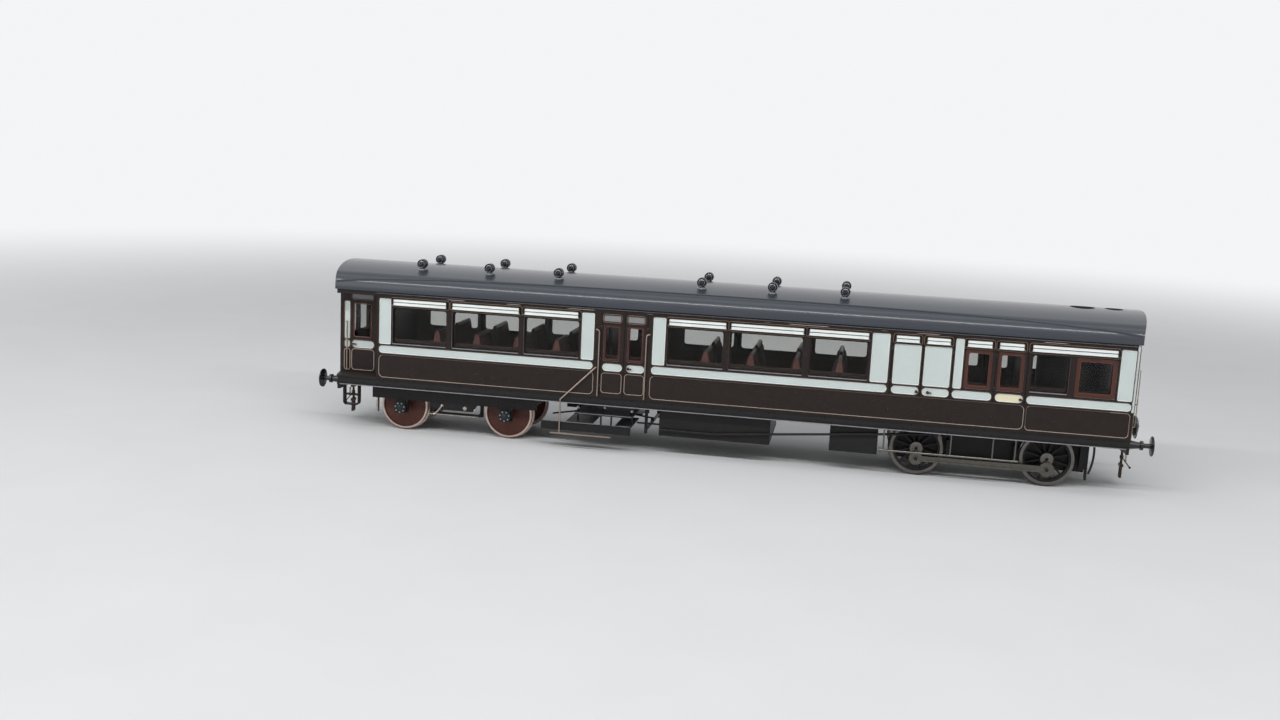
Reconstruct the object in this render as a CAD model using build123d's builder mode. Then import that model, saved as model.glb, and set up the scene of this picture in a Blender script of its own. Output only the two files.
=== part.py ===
from build123d import *
import math
import os

# Model of a steam railmotor coach, 7 mm to the foot. Millimetres.
# X runs along the coach with the motor end at +X, the origin is under the middle of the body,
# and Z is zero at the wheel flanges' lowest points. Heights in tables are above the rail top.
FLANGE_DEEP = 0.9
RAIL = FLANGE_DEEP
FIT = 0.02

# Body
BODY_HALF = 29.6
WALL = 1.5
SUNK = 0.3
CORNER_X = 200.6
END_BOW = 3.9
BOW_TIP = CORNER_X + END_BOW
END_CORNER_R = 1.2
RECESS_LENGTH = 21.8
RECESS_X = RECESS_LENGTH - CORNER_X
RECESS_DEEP = 9.5
RECESS_Y = BODY_HALF - RECESS_DEEP
FLOOR_TOP = 28.7
FLOOR_THICK = 0.8
FLOOR_LOW = FLOOR_TOP - FLOOR_THICK
SIDE_TOP = 74.3
WINDOW_R = 0.9
PARTITION_THICK = 1.2
GLASS_THICK = 0.5
PANE_FIT = 0.1

# Roof
EAVE_OVER = 0.8
EAVE_HALF = BODY_HALF + EAVE_OVER
EAVE_DEEP = 0.9
COVE_Z = SIDE_TOP + EAVE_DEEP
COVE_R = 8.5
COVE_Y = EAVE_HALF - COVE_R
ROOF_RISE = 12.1
RIDGE_Z = COVE_Z + ROOF_RISE
ROOF_SKIN = 1.2
ROOF_OVER = 0.8
# Radius of the crown, tangent to the coves
CROWN_R = (COVE_Y ** 2 - (ROOF_RISE - COVE_R) ** 2) / (2 * (ROOF_RISE - COVE_R)) + ROOF_RISE

# Underframe
SOLEBAR_DEEP = 4.4
SOLEBAR_LOW = FLOOR_LOW - SOLEBAR_DEEP
SOLEBAR_INSET = 1.0
SOLEBAR_THICK = 1.4
SOLEBAR_Y = BODY_HALF - SOLEBAR_INSET
SOLEBAR_IN = SOLEBAR_Y - SOLEBAR_THICK
BEAM_DROP = 2.6
BEAM_LOW = SOLEBAR_LOW - BEAM_DROP
BEAM_THICK = 1.4
BUFFER_Z = 24.2
BUFFER_Y = 19.8
BUFFER_REACH = 12.6
BOLSTER_DEEP = 4.5
BOLSTER_HALF = 5.0
BOLSTER_LOW = FLOOR_LOW - BOLSTER_DEEP
PIVOT_R = 2.0
PIVOT_LONG = 4.1
PIVOT_CLEAR = 0.06
PIVOT_BOSS_R = 4.0
PIVOT_BOSS_DEEP = 2.6
BOGIE_GAP = 0.8
BOGIE_TOP = BOLSTER_LOW - BOGIE_GAP

# Wheels: distances of the tyres' faces from the centre line
TREAD_OUT = 18.2
TREAD_IN = 14.5
TYRE_THICK = 1.5
AXLE_R = 1.5
AXLE_SHOULDER = 2.8
JOURNAL_R = 1.0
BEARING_FIT = 0.05

# Trailing bogie
TRAIL_X = -138.0
TRAIL_BASE = 57.4
TRAIL_R = 12.7
HEADSTOCK_GAP = 2.7
TRAIL_HALF = TRAIL_BASE / 2 + TRAIL_R + FLANGE_DEEP + HEADSTOCK_GAP
PLATE = 1.2
FRAME_GAP = 3.8
FRAME_Y = TREAD_OUT + FRAME_GAP

# Motor bogie
MOTOR_X = 133.4
MOTOR_BASE = 63.0
DRIVE_R = 13.1
MOTOR_END_GAP = 4.5
MOTOR_HALF = MOTOR_BASE / 2 + DRIVE_R + FLANGE_DEEP + MOTOR_END_GAP
WHEEL_GAP = 1.1
MOTOR_FRAME_Y = TREAD_IN - WHEEL_GAP - PLATE
CRANK_THROW = 4.7
CRANKPIN_R = 0.9

os.makedirs("parts", exist_ok=True)


def side_plane(out):
    """Plane of the near side at the distance out from the middle, heights above the rail."""
    return Plane(origin=(0, -out, RAIL), x_dir=(1, 0, 0), z_dir=(0, -1, 0))


def far_plane(out):
    """The same plane on the far side, still facing the near side's way."""
    return Plane(origin=(0, out, RAIL), x_dir=(1, 0, 0), z_dir=(0, -1, 0))


def level(height):
    return Plane.XY.offset(RAIL + height)


def cross_plane(x):
    """Cross-section plane at x: local x is the coach's Y, local y is the height above the rail."""
    return Plane(origin=(x, 0, RAIL), x_dir=(0, 1, 0), z_dir=(1, 0, 0))


def rounded(x0, x1, z0, z1, radius, mode=Mode.ADD):
    """Rounded rectangle from its edges, inside a sketch."""
    with Locations(((x0 + x1) / 2, (z0 + z1) / 2)):
        RectangleRounded(x1 - x0, z1 - z0, radius, mode=mode)


def block(x0, x1, y0, y1, z0, z1, mode=Mode.ADD):
    """Box from its edges, heights above the rail, inside a part."""
    with Locations(((x0 + x1) / 2, (y0 + y1) / 2, RAIL + (z0 + z1) / 2)):
        Box(abs(x1 - x0), abs(y1 - y0), abs(z1 - z0), mode=mode)


def finish(piece, name):
    piece.part.label = name
    export_step(piece.part, f"parts/{name}.step")


# Edges that the panels and windows next to the recess, the motor end and the waist line keep to
RECESS_EDGE = RECESS_X + 1.4
END_EDGE = CORNER_X - 1.3
WAIST_LOW = 42.0
WAIST_TOP = 46.0
PANEL_TOP = 41.2
PANEL_LOW = 29.0

# Sunk panels of a side: left, right, bottom, top, corner radius
WHITE_PANELS = [
    (RECESS_EDGE + 0.1, -170.8, 46.8, 70.9, 0.8),
    (-69.0, -62.4, 46.8, 71.0, 0.8),
    (-32.3, -25.8, 46.8, 71.1, 0.8),
    (76.2, 84.8, 46.8, 71.2, 0.8),
    (87.0, 100.0, 46.8, 66.6, 0.8),
    (101.6, 114.4, 46.8, 66.6, 0.8),
    (115.9, 120.0, 46.8, 71.3, 0.8),
    (192.3, END_EDGE, 46.8, 71.5, 0.8),
]
WAIST_PANELS = [
    (RECESS_EDGE, -62.6, WAIST_LOW, WAIST_TOP, 1.9),
    (-57.6, -47.4, 41.8, 45.7, 1.9),
    (-45.2, -35.9, 41.8, 45.7, 1.9),
    (-32.4, 84.8, WAIST_LOW, WAIST_TOP, 1.9),
    (86.9, 100.0, WAIST_LOW, WAIST_TOP, 1.9),
    (101.6, 114.5, WAIST_LOW, WAIST_TOP, 1.9),
    (115.9, 134.6, WAIST_LOW, WAIST_TOP, 1.9),
    (136.3, 149.3, WAIST_LOW, WAIST_TOP, 1.9),
    (151.0, END_EDGE, WAIST_LOW, WAIST_TOP, 1.9),
]
LOWER_PANELS = [
    (RECESS_EDGE, -62.0, PANEL_LOW, PANEL_TOP, 2.6),
    (-58.0, -47.3, 30.3, 40.9, 1.7),
    (-46.0, -35.8, 30.3, 40.9, 1.7),
    (-32.9, 150.5, PANEL_LOW, PANEL_TOP, 2.6),
    (151.3, END_EDGE, PANEL_LOW, PANEL_TOP, 2.0),
]
TOPLIGHTS = [
    (-57.5, -48.9, 67.3, 70.4, 0.9),
    (-45.2, -36.8, 67.3, 70.4, 0.9),
]
# Window openings without droplight frames: left, right, bottom, top
PLAIN_WINDOWS = [
    (-170.2, -140.4, 47.3, 66.5),
    (-137.7, -101.6, 47.3, 66.5),
    (-99.3, -69.9, 47.3, 66.5),
    (-24.9, 4.0, 47.3, 66.5),
    (6.3, 43.5, 47.3, 66.5),
    (46.0, 75.3, 47.3, 66.5),
    (151.6, 169.6, 47.9, 66.2),
]
# Window openings with mahogany droplight frames: left, right, bottom, top, frame width
FRAMED_WINDOWS = [
    (-57.4, -48.8, 47.0, 65.4, 0.9),
    (-45.2, -36.7, 47.0, 65.4, 0.9),
    (121.0, 133.6, 47.2, 66.3, 1.5),
    (136.4, 148.7, 47.2, 66.3, 1.5),
    (172.5, 191.1, 47.2, 66.3, 1.8),
]
# Eyebrow ventilator bonnets: left, right
BONNETS = [
    (-169.9, -140.2), (-137.9, -101.4), (-99.5, -70.3),
    (-24.7, 5.0), (6.5, 43.4), (45.1, 75.0),
    (87.1, 99.2), (101.8, 113.9),
    (120.9, 133.4), (135.8, 148.3), (151.1, 191.1),
]
BONNET_LOW = 67.3
BONNET_TOP = 71.1


def bowed_outline(half, over, square_at):
    """Plan face from the square end (minus X side) to the bowed end, over sticks out past the end wall."""
    with BuildLine() as outline:
        Line((square_at, -half), (CORNER_X + over, -half))
        ThreePointArc((CORNER_X + over, -half), (BOW_TIP + over, 0), (CORNER_X + over, half))
        Line((CORNER_X + over, half), (square_at, half))
        Line((square_at, half), (square_at, -half))
    make_face(outline.edges())


def roof_outline(inset, low):
    """Three-arc roof section, inset from the outer skin, closed along the height low."""
    cove = COVE_R - inset
    crown = CROWN_R - inset
    crown_z = RIDGE_Z - CROWN_R
    lean = math.atan2(COVE_Y, COVE_Z - crown_z)
    join_y = crown * math.sin(lean)
    join_z = crown_z + crown * math.cos(lean)
    mid = (lean + math.pi / 2) / 2
    mid_y = COVE_Y + cove * math.sin(mid)
    mid_z = COVE_Z + cove * math.cos(mid)
    edge = EAVE_HALF - inset
    with BuildLine() as outline:
        Line((-edge, low), (-edge, COVE_Z))
        ThreePointArc((-edge, COVE_Z), (-mid_y, mid_z), (-join_y, join_z))
        ThreePointArc((-join_y, join_z), (0, RIDGE_Z - inset), (join_y, join_z))
        ThreePointArc((join_y, join_z), (mid_y, mid_z), (edge, COVE_Z))
        Line((edge, COVE_Z), (edge, low))
        Line((edge, low), (-edge, low))
    make_face(outline.edges())


# Extrusions that are cut to length afterwards reach this far, and cuts start this much outside
LONG = BOW_TIP + 6
DEEP = 12
PAST = 2

# Sides: one wall with its sunk panels and window openings
SIDE_LOW = FLOOR_LOW + FIT
with BuildPart() as body_side_near:
    with BuildSketch(side_plane(BODY_HALF)):
        with Locations(((RECESS_X + CORNER_X - WALL) / 2, (SIDE_LOW + SIDE_TOP) / 2)):
            Rectangle(CORNER_X - WALL - RECESS_X, SIDE_TOP - SIDE_LOW)
    extrude(amount=-WALL)
    with BuildSketch(side_plane(BODY_HALF)):
        for left, right, low, top, radius in WHITE_PANELS + WAIST_PANELS + LOWER_PANELS + TOPLIGHTS:
            rounded(left, right, low, top, radius)
    extrude(amount=-SUNK, mode=Mode.SUBTRACT)
    with BuildSketch(side_plane(BODY_HALF)):
        for left, right, low, top in PLAIN_WINDOWS:
            rounded(left, right, low, top, WINDOW_R)
        for left, right, low, top, width in FRAMED_WINDOWS:
            rounded(left, right, low, top, WINDOW_R)
    extrude(amount=-WALL, mode=Mode.SUBTRACT)
finish(body_side_near, "body_side_near")

with BuildPart() as body_side_far:
    mirror(body_side_near.part, about=Plane.XZ)
finish(body_side_far, "body_side_far")

# Eyebrow bonnets: a hood of two sloping louvres along the top of each window
BONNET_SECTION = [
    (0, BONNET_TOP), (0.45, BONNET_TOP), (0.85, 69.4), (0.5, 69.2),
    (0.95, BONNET_LOW + 0.2), (0.95, BONNET_LOW), (0, BONNET_LOW),
]


def bonnets_on(face_y, way):
    for left, right in BONNETS:
        with BuildSketch(cross_plane(left)) as section:
            with BuildLine():
                Polyline([(way * (face_y + out), z) for out, z in BONNET_SECTION], close=True)
            make_face()
        extrude(section.sketch, amount=right - left, dir=(1, 0, 0))


with BuildPart() as window_bonnets:
    bonnets_on(BODY_HALF, -1)
    bonnets_on(BODY_HALF, 1)
finish(window_bonnets, "window_bonnets")

# Droplight frames sit inside their openings, set back from the face
FRAME_FIT = 0.04
FRAME_SETBACK = 0.35
FRAME_OUT = BODY_HALF - FRAME_SETBACK
FRAME_DEEP = 0.7
# The foot rail of a frame is wider than its sides by this share
FOOT_RAIL = 0.3
FRAME_R = 0.7

with BuildPart() as droplight_frames:
    for out_sign in (-1, 1):
        face = side_plane(FRAME_OUT) if out_sign < 0 else far_plane(FRAME_OUT - FRAME_DEEP)
        with BuildSketch(face):
            for left, right, low, top, width in FRAMED_WINDOWS:
                rounded(left + FRAME_FIT, right - FRAME_FIT, low + FRAME_FIT, top - FRAME_FIT, WINDOW_R)
            for left, right, low, top, width in FRAMED_WINDOWS:
                with Locations(((left + right) / 2, (low + top) / 2 + FOOT_RAIL * width / 2)):
                    RectangleRounded(right - left - 2 * width, top - low - (2 + FOOT_RAIL) * width,
                                     FRAME_R, mode=Mode.SUBTRACT)
        extrude(amount=-FRAME_DEEP)
finish(droplight_frames, "droplight_frames")

# Glazing strips inside the sides: left, right
GLASS_STRIPS = [(-171.5, -68.6), (-58.6, -35.6), (-26.2, 76.6), (119.6, 149.9), (151.9, 192.4)]
GLASS_OUT = BODY_HALF - WALL - PANE_FIT
GLASS_LOW = 46.4
GLASS_TOP = 67.4


def end_strip(half, first, thick):
    """Bowed strip in plan, thick inward from the end's outer face, first is how far in it starts."""
    outer_corner = CORNER_X - first
    outer_tip = BOW_TIP - first
    inner_corner = outer_corner - thick
    inner_tip = outer_tip - thick
    with BuildLine() as outline:
        ThreePointArc((outer_corner, -half), (outer_tip, 0), (outer_corner, half))
        Line((outer_corner, half), (inner_corner, half))
        ThreePointArc((inner_corner, half), (inner_tip, 0), (inner_corner, -half))
        Line((inner_corner, -half), (outer_corner, -half))
    make_face(outline.edges())


# Windows of the bowed ends and of the driver's doors
VEST_DOOR_WINDOW = (-195.3, -185.1, 47.8, 66.1)
VEST_END_WINDOWS = [(-12.2, 9.2), (0.0, 9.2), (12.2, 9.2)]
MOTOR_END_WINDOWS = [(-14.6, 11.4), (0.0, 11.8), (14.6, 11.4)]
END_WINDOW_LOW = 47.8
END_WINDOW_TOP = 66.0

# Flat panes inside the sides and the vestibule walls, bowed panes inside both ends
VEST_PANE_Y = RECESS_Y - WALL - PANE_FIT
VEST_PANE = (-197.0, -183.6)
MOTOR_PANE_HALF = BODY_HALF - 5.6
with BuildPart() as glazing:
    for way in (-1, 1):
        for left, right in GLASS_STRIPS:
            block(left, right, way * GLASS_OUT, way * (GLASS_OUT - GLASS_THICK), GLASS_LOW, GLASS_TOP)
        block(*VEST_PANE, way * VEST_PANE_Y, way * (VEST_PANE_Y - GLASS_THICK), GLASS_LOW, GLASS_TOP)
        pane_half = MOTOR_PANE_HALF if way > 0 else VEST_PANE_Y - GLASS_THICK - PANE_FIT
        with BuildSketch(Plane(origin=(0, 0, RAIL + GLASS_LOW), x_dir=(way, 0, 0), z_dir=(0, 0, 1))):
            end_strip(BODY_HALF, WALL + PANE_FIT, GLASS_THICK)
            with Locations((CORNER_X, 0)):
                Rectangle(2 * DEEP, 2 * pane_half, mode=Mode.INTERSECT)
        extrude(amount=GLASS_TOP - GLASS_LOW)
finish(glazing, "glazing")

# Sunk panels of the motor end: centre Y, width, bottom, top, corner radius
MOTOR_END_PANELS = [
    (-22.6, 8.2, 29.0, 41.2, 1.7), (-8.4, 15.6, 29.0, 41.2, 1.7),
    (8.4, 15.6, 29.0, 41.2, 1.7), (22.6, 8.2, 29.0, 41.2, 1.7),
    (-12.9, 24.4, 42.0, 46.0, 1.9), (12.9, 24.4, 42.0, 46.0, 1.9),
    (-24.9, 4.4, 46.8, 71.5, 0.8), (24.9, 4.4, 46.8, 71.5, 0.8),
]
END_PLANE = Plane(origin=(BOW_TIP + PAST, 0, RAIL), x_dir=(0, 1, 0), z_dir=(1, 0, 0))

# The skin that the sunk panels take off the bowed end
with BuildPart() as end_panel_skin:
    with BuildSketch(level(FLOOR_LOW)):
        end_strip(BODY_HALF, -PAST, SUNK + PAST)
    extrude(amount=SIDE_TOP - FLOOR_LOW)
    with BuildSketch(END_PLANE):
        for centre, width, low, top, radius in MOTOR_END_PANELS:
            rounded(centre - width / 2, centre + width / 2, low, top, radius)
    extrude(amount=-DEEP, mode=Mode.INTERSECT)

# Bowed motor end: full width, rounded into the sides, up to the roof's inside
with BuildPart() as body_end_motor:
    with BuildSketch(level(SIDE_LOW)):
        bowed_outline(BODY_HALF, 0, CORNER_X - WALL + FIT)
    extrude(amount=RIDGE_Z - FLOOR_LOW)
    corners = body_end_motor.edges().filter_by(Axis.Z).group_by(Axis.X)[-1]
    fillet(corners, END_CORNER_R)
    with BuildSketch(level(FLOOR_LOW)):
        bowed_outline(BODY_HALF, -WALL, CORNER_X - WALL - PAST)
        with Locations((CORNER_X, 0)):
            Rectangle(2 * DEEP, 2 * (BODY_HALF - WALL), mode=Mode.INTERSECT)
    extrude(amount=RIDGE_Z, mode=Mode.SUBTRACT)
    with BuildSketch(cross_plane(CORNER_X - WALL - PAST)):
        roof_outline(ROOF_SKIN + PANE_FIT, SIDE_TOP - WALL)
        with Locations((0, RIDGE_Z)):
            Rectangle(2 * (BODY_HALF - WALL - FIT), 2 * (RIDGE_Z - SIDE_TOP + WALL), mode=Mode.INTERSECT)
        with Locations((0, (FLOOR_LOW + SIDE_TOP) / 2)):
            Rectangle(2 * BODY_HALF, SIDE_TOP - FLOOR_LOW)
    extrude(amount=DEEP, mode=Mode.INTERSECT)
    add(end_panel_skin.part, mode=Mode.SUBTRACT)
    with BuildSketch(END_PLANE):
        for centre, width in MOTOR_END_WINDOWS:
            with Locations((centre, (END_WINDOW_LOW + END_WINDOW_TOP) / 2)):
                RectangleRounded(width, END_WINDOW_TOP - END_WINDOW_LOW, WINDOW_R)
    extrude(amount=-DEEP, mode=Mode.SUBTRACT)
finish(body_end_motor, "body_end_motor")

# Bowed trailing end: narrow, between the two inset vestibule walls
with BuildPart() as body_end_trailing:
    with BuildSketch(level(FLOOR_TOP + FIT)):
        end_strip(BODY_HALF, 0, WALL)
    extrude(amount=RIDGE_Z - FLOOR_TOP)
    with BuildSketch(cross_plane(CORNER_X - WALL - PAST)):
        with Locations((0, (FLOOR_TOP + RIDGE_Z) / 2)):
            Rectangle(2 * RECESS_Y, RIDGE_Z - FLOOR_TOP + PAST)
    extrude(amount=DEEP, mode=Mode.INTERSECT)
    with BuildSketch(cross_plane(CORNER_X - WALL - PAST)):
        roof_outline(ROOF_SKIN + PANE_FIT, FLOOR_LOW)
    extrude(amount=DEEP, mode=Mode.INTERSECT)
    with BuildSketch(END_PLANE):
        for centre, width in VEST_END_WINDOWS:
            with Locations((centre, (END_WINDOW_LOW + END_WINDOW_TOP) / 2)):
                RectangleRounded(width, END_WINDOW_TOP - END_WINDOW_LOW, WINDOW_R)
    extrude(amount=-DEEP, mode=Mode.SUBTRACT)
    mirror(about=Plane.YZ, mode=Mode.REPLACE)
finish(body_end_trailing, "body_end_trailing")

# Inset vestibule walls with the driver's doors: panels as left, right, bottom, top, radius
VEST_END_X = -CORNER_X - 0.6
VEST_PANELS = [
    (-200.3, -197.4, 46.8, 66.8, 0.7),
    (-200.3, -197.4, 42.0, 46.0, 1.4),
    (-200.3, -197.4, 30.0, 41.2, 1.4),
    (-196.0, -183.9, 42.0, 46.0, 1.9),
    (-196.1, -183.9, 30.3, 41.2, 1.7),
    (-196.1, -184.5, 68.2, 70.9, 0.6),
]
with BuildPart() as vestibule_walls:
    with BuildSketch(side_plane(RECESS_Y)):
        with Locations(((VEST_END_X + RECESS_X) / 2, (FLOOR_TOP + FIT + SIDE_TOP) / 2)):
            Rectangle(RECESS_X - VEST_END_X, SIDE_TOP - FLOOR_TOP - FIT)
    extrude(amount=-WALL)
    with BuildSketch(side_plane(RECESS_Y)):
        for left, right, low, top, radius in VEST_PANELS:
            rounded(left, right, low, top, radius)
    extrude(amount=-SUNK, mode=Mode.SUBTRACT)
    with BuildSketch(side_plane(RECESS_Y)):
        rounded(*VEST_DOOR_WINDOW, WINDOW_R)
    extrude(amount=-WALL, mode=Mode.SUBTRACT)
    mirror(about=Plane.XZ)
finish(vestibule_walls, "vestibule_walls")

# Bulkhead and partitions across the coach: X of the rear face, doorway half width
PARTITIONS = [(RECESS_X, 0.0), (-61.0, 5.0), (-34.0, 5.0), (80.0, 5.0), (117.6, 0.0), (150.5, 0.0)]
PARTITION_HALF = GLASS_OUT - GLASS_THICK - 2 * PANE_FIT
DOORWAY_TOP = 67.0
with BuildPart() as partitions:
    for x, doorway in PARTITIONS:
        half = BODY_HALF - WALL - FIT if x == RECESS_X else PARTITION_HALF
        block(x, x + PARTITION_THICK, -half, half, FLOOR_TOP + FIT, SIDE_TOP)
        with BuildSketch(cross_plane(x)):
            roof_outline(ROOF_SKIN + 3 * PANE_FIT, SIDE_TOP)
            with Locations((0, SIDE_TOP)):
                Rectangle(2 * half, ROOF_RISE, mode=Mode.INTERSECT)
        extrude(amount=PARTITION_THICK)
        if doorway:
            block(x - WALL, x + WALL + PARTITION_THICK, -doorway, doorway, FLOOR_LOW, DOORWAY_TOP,
                  Mode.SUBTRACT)
finish(partitions, "partitions")

# Hoods over the two recesses: fascia board at full width and its soffit
HOOD_LOW = 72.0
with BuildPart() as recess_hoods:
    with BuildSketch(level(HOOD_LOW)):
        bowed_outline(BODY_HALF, 0, -RECESS_X)
    extrude(amount=SIDE_TOP - HOOD_LOW - FIT)
    with BuildSketch(level(HOOD_LOW)):
        with Locations((CORNER_X, 0)):
            Rectangle(4 * RECESS_LENGTH, 2 * (RECESS_Y + FIT))
    extrude(amount=SIDE_TOP, mode=Mode.SUBTRACT)
    mirror(about=Plane.YZ, mode=Mode.REPLACE)
finish(recess_hoods, "recess_hoods")

# Floor, bowed at both ends, at full width beside the recesses
FLOOR_HALF = BODY_HALF - WALL - FIT
with BuildPart() as floor:
    with BuildSketch(level(FLOOR_LOW)):
        bowed_outline(FLOOR_HALF, -WALL - FIT, RECESS_X)
    extrude(amount=FLOOR_THICK)
    with BuildSketch(Plane(origin=(0, 0, RAIL + FLOOR_LOW), x_dir=(-1, 0, 0), z_dir=(0, 0, 1))):
        bowed_outline(BODY_HALF, 0, -RECESS_X + FIT)
    extrude(amount=FLOOR_THICK)
    block(RECESS_X - 2 * FIT, RECESS_X + WALL, -FLOOR_HALF, FLOOR_HALF, FLOOR_LOW, FLOOR_TOP)
finish(floor, "floor")

# Roof shell with eaves, rain strips and the two round openings over the boiler: X, radius
ROOF_OPENINGS = [(177.0, 6.0), (192.0, 4.4)]
with BuildPart() as roof:
    with BuildSketch(cross_plane(-LONG)):
        roof_outline(0, SIDE_TOP)
    extrude(amount=2 * LONG)
    with BuildSketch(cross_plane(-LONG)):
        roof_outline(ROOF_SKIN, COVE_Z - FIT)
        with Locations((0, SIDE_TOP)):
            Rectangle(2 * (BODY_HALF - WALL), 2 * (COVE_Z - SIDE_TOP))
    extrude(amount=2 * LONG, mode=Mode.SUBTRACT)
    with BuildSketch(level(SIDE_TOP - WALL)):
        bowed_outline(EAVE_HALF + FIT, ROOF_OVER, 0)
        mirror(about=Plane.YZ)
    extrude(amount=RIDGE_Z, mode=Mode.INTERSECT)
    for x, radius in ROOF_OPENINGS:
        with Locations((x, 0, RAIL + RIDGE_Z)):
            Cylinder(radius, ROOF_RISE, mode=Mode.SUBTRACT)
finish(roof, "roof")

# Rain strips: a rib on each slope, near the eaves at the ends and higher up in the middle
STRIP_END_Y = EAVE_HALF - 0.8
STRIP_MID_Y = EAVE_HALF - 5.9
STRIP_SIZE = 0.45
with BuildPart() as rain_strips:
    with BuildSketch(level(SIDE_TOP)):
        with BuildLine():
            ThreePointArc((-CORNER_X, STRIP_END_Y), (0, STRIP_MID_Y), (CORNER_X, STRIP_END_Y))
            Line((CORNER_X, STRIP_END_Y), (CORNER_X, STRIP_END_Y + STRIP_SIZE))
            ThreePointArc((CORNER_X, STRIP_END_Y + STRIP_SIZE), (0, STRIP_MID_Y + STRIP_SIZE),
                          (-CORNER_X, STRIP_END_Y + STRIP_SIZE))
            Line((-CORNER_X, STRIP_END_Y + STRIP_SIZE), (-CORNER_X, STRIP_END_Y))
        make_face()
        mirror(about=Plane.XZ)
    extrude(amount=RIDGE_Z - SIDE_TOP)
    with BuildSketch(cross_plane(-LONG)):
        roof_outline(-STRIP_SIZE, SIDE_TOP)
    extrude(amount=2 * LONG, mode=Mode.INTERSECT)
    with BuildSketch(cross_plane(-LONG)):
        roof_outline(0, SIDE_TOP - WALL)
    extrude(amount=2 * LONG, mode=Mode.SUBTRACT)
finish(rain_strips, "rain_strips")

# Torpedo ventilators across the roof: X, one each side of the middle
VENTS_X = [-159.4, -122.7, -85.6, -10.8, 25.1, 61.3]
VENT_Y = 14.6
VENT_Z = RIDGE_Z + 1.3
VENT_NOSE = 3.0
VENT_RING_R = 2.45
VENT_STEM_R = 0.9
VENT_FOOT_R = 1.9
VENT_FOOT = 0.8
# Half section of the torpedo: distance along its axis, radius
VENT_STEPS = [(-VENT_NOSE, 0.7), (-1.3, 1.6), (-0.5, 1.6), (-0.4, VENT_RING_R)]


def roof_height(y):
    """Height of the outer skin at a distance y from the middle."""
    return RIDGE_Z - CROWN_R + math.sqrt(CROWN_R ** 2 - y ** 2)


VENT_SEAT = roof_height(VENT_Y + VENT_FOOT_R) - FIT
VENT_STEM = VENT_Z - VENT_SEAT
with BuildPart() as roof_ventilators:
    for x in VENTS_X:
        for way in (-1, 1):
            axis_plane = Plane(origin=(x, way * VENT_Y, RAIL + VENT_Z), x_dir=(0, 0, 1), z_dir=(1, 0, 0))
            half = [(radius, along) for along, radius in VENT_STEPS]
            other = [(radius, -along) for radius, along in reversed(half)]
            with BuildSketch(axis_plane):
                with BuildLine():
                    Polyline([(0, -VENT_NOSE)] + half + other + [(0, VENT_NOSE)], close=True)
                make_face()
            revolve(axis=Axis((x, way * VENT_Y, RAIL + VENT_Z), (0, 1, 0)))
            with Locations((x, way * VENT_Y, RAIL + VENT_Z - VENT_STEM / 2)):
                Cylinder(VENT_STEM_R, VENT_STEM)
            with Locations((x, way * VENT_Y, RAIL + VENT_SEAT + VENT_FOOT / 2)):
                Cylinder(VENT_FOOT_R, VENT_FOOT)
    with BuildSketch(cross_plane(-LONG)):
        roof_outline(0, SIDE_TOP)
    extrude(amount=2 * LONG, mode=Mode.SUBTRACT)
finish(roof_ventilators, "roof_ventilators")

# Seats back to back, their backs rounded at the top corners: X of each pair's middle
SEATS_X = [-146.5, -125.0, -103.5, -82.5, -5.5, 17.3, 40.0, 61.3]
SEAT_IN = 5.5
SEAT_OUT = PARTITION_HALF - 3 * PANE_FIT
BACK_TOP = 26.8
BACK_R = 2.6
# Section of a pair: distance from its middle, height above the floor
SEAT_SECTION = [
    (-8.6, 8.4), (-8.6, 10.4), (-4.4, 10.0), (-1.1, BACK_TOP), (1.1, BACK_TOP), (4.4, 10.0), (8.6, 10.4),
    (8.6, 8.4), (2.6, 7.6), (2.6, 0.0), (-2.6, 0.0), (-2.6, 7.6),
]
with BuildPart() as seats:
    for x in SEATS_X:
        for way in (-1, 1):
            start = SEAT_OUT if way < 0 else -SEAT_IN
            with BuildSketch(side_plane(start)):
                with BuildLine():
                    Polyline([(x + dx, FLOOR_TOP + FIT + dz) for dx, dz in SEAT_SECTION], close=True)
                make_face()
            extrude(amount=-(SEAT_OUT - SEAT_IN))
    fillet(seats.edges().filter_by(Axis.X).group_by(Axis.Z)[-1], BACK_R)
finish(seats, "seats")

# Boiler: the closed heavy mass, one plain drum standing on the floor
BOILER_X = 176.5
BOILER_R = 18.5
BOILER_TOP = 82.0
with BuildPart() as boiler:
    with Locations((BOILER_X, 0, RAIL + (FLOOR_TOP + FIT + BOILER_TOP) / 2)):
        Cylinder(BOILER_R, BOILER_TOP - FLOOR_TOP - FIT)
finish(boiler, "boiler")

# Underframe: channel solebars, headstocks, bolsters and the pivot pins
UNDER_TOP = FLOOR_LOW - FIT
BEAM_TOP = 27.4
SOLEBAR_FLANGE = 0.7
FLANGE_OUT = BODY_HALF - 0.2
with BuildPart() as underframe:
    for way in (-1, 1):
        block(-CORNER_X, CORNER_X, way * SOLEBAR_IN, way * SOLEBAR_Y, SOLEBAR_LOW, UNDER_TOP)
        block(-CORNER_X, CORNER_X, way * SOLEBAR_IN, way * FLANGE_OUT, SOLEBAR_LOW,
              SOLEBAR_LOW + SOLEBAR_FLANGE)
        block(way * (CORNER_X - BEAM_THICK), way * CORNER_X, -SOLEBAR_Y, SOLEBAR_Y, BEAM_LOW, BEAM_TOP)
    for x in (TRAIL_X, MOTOR_X):
        block(x - BOLSTER_HALF, x + BOLSTER_HALF, -SOLEBAR_IN - FIT, SOLEBAR_IN + FIT, BOLSTER_LOW,
              UNDER_TOP)
        with Locations((x, 0, RAIL + BOLSTER_LOW - PIVOT_LONG / 2)):
            Cylinder(PIVOT_R, PIVOT_LONG)
finish(underframe, "underframe")

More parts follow.
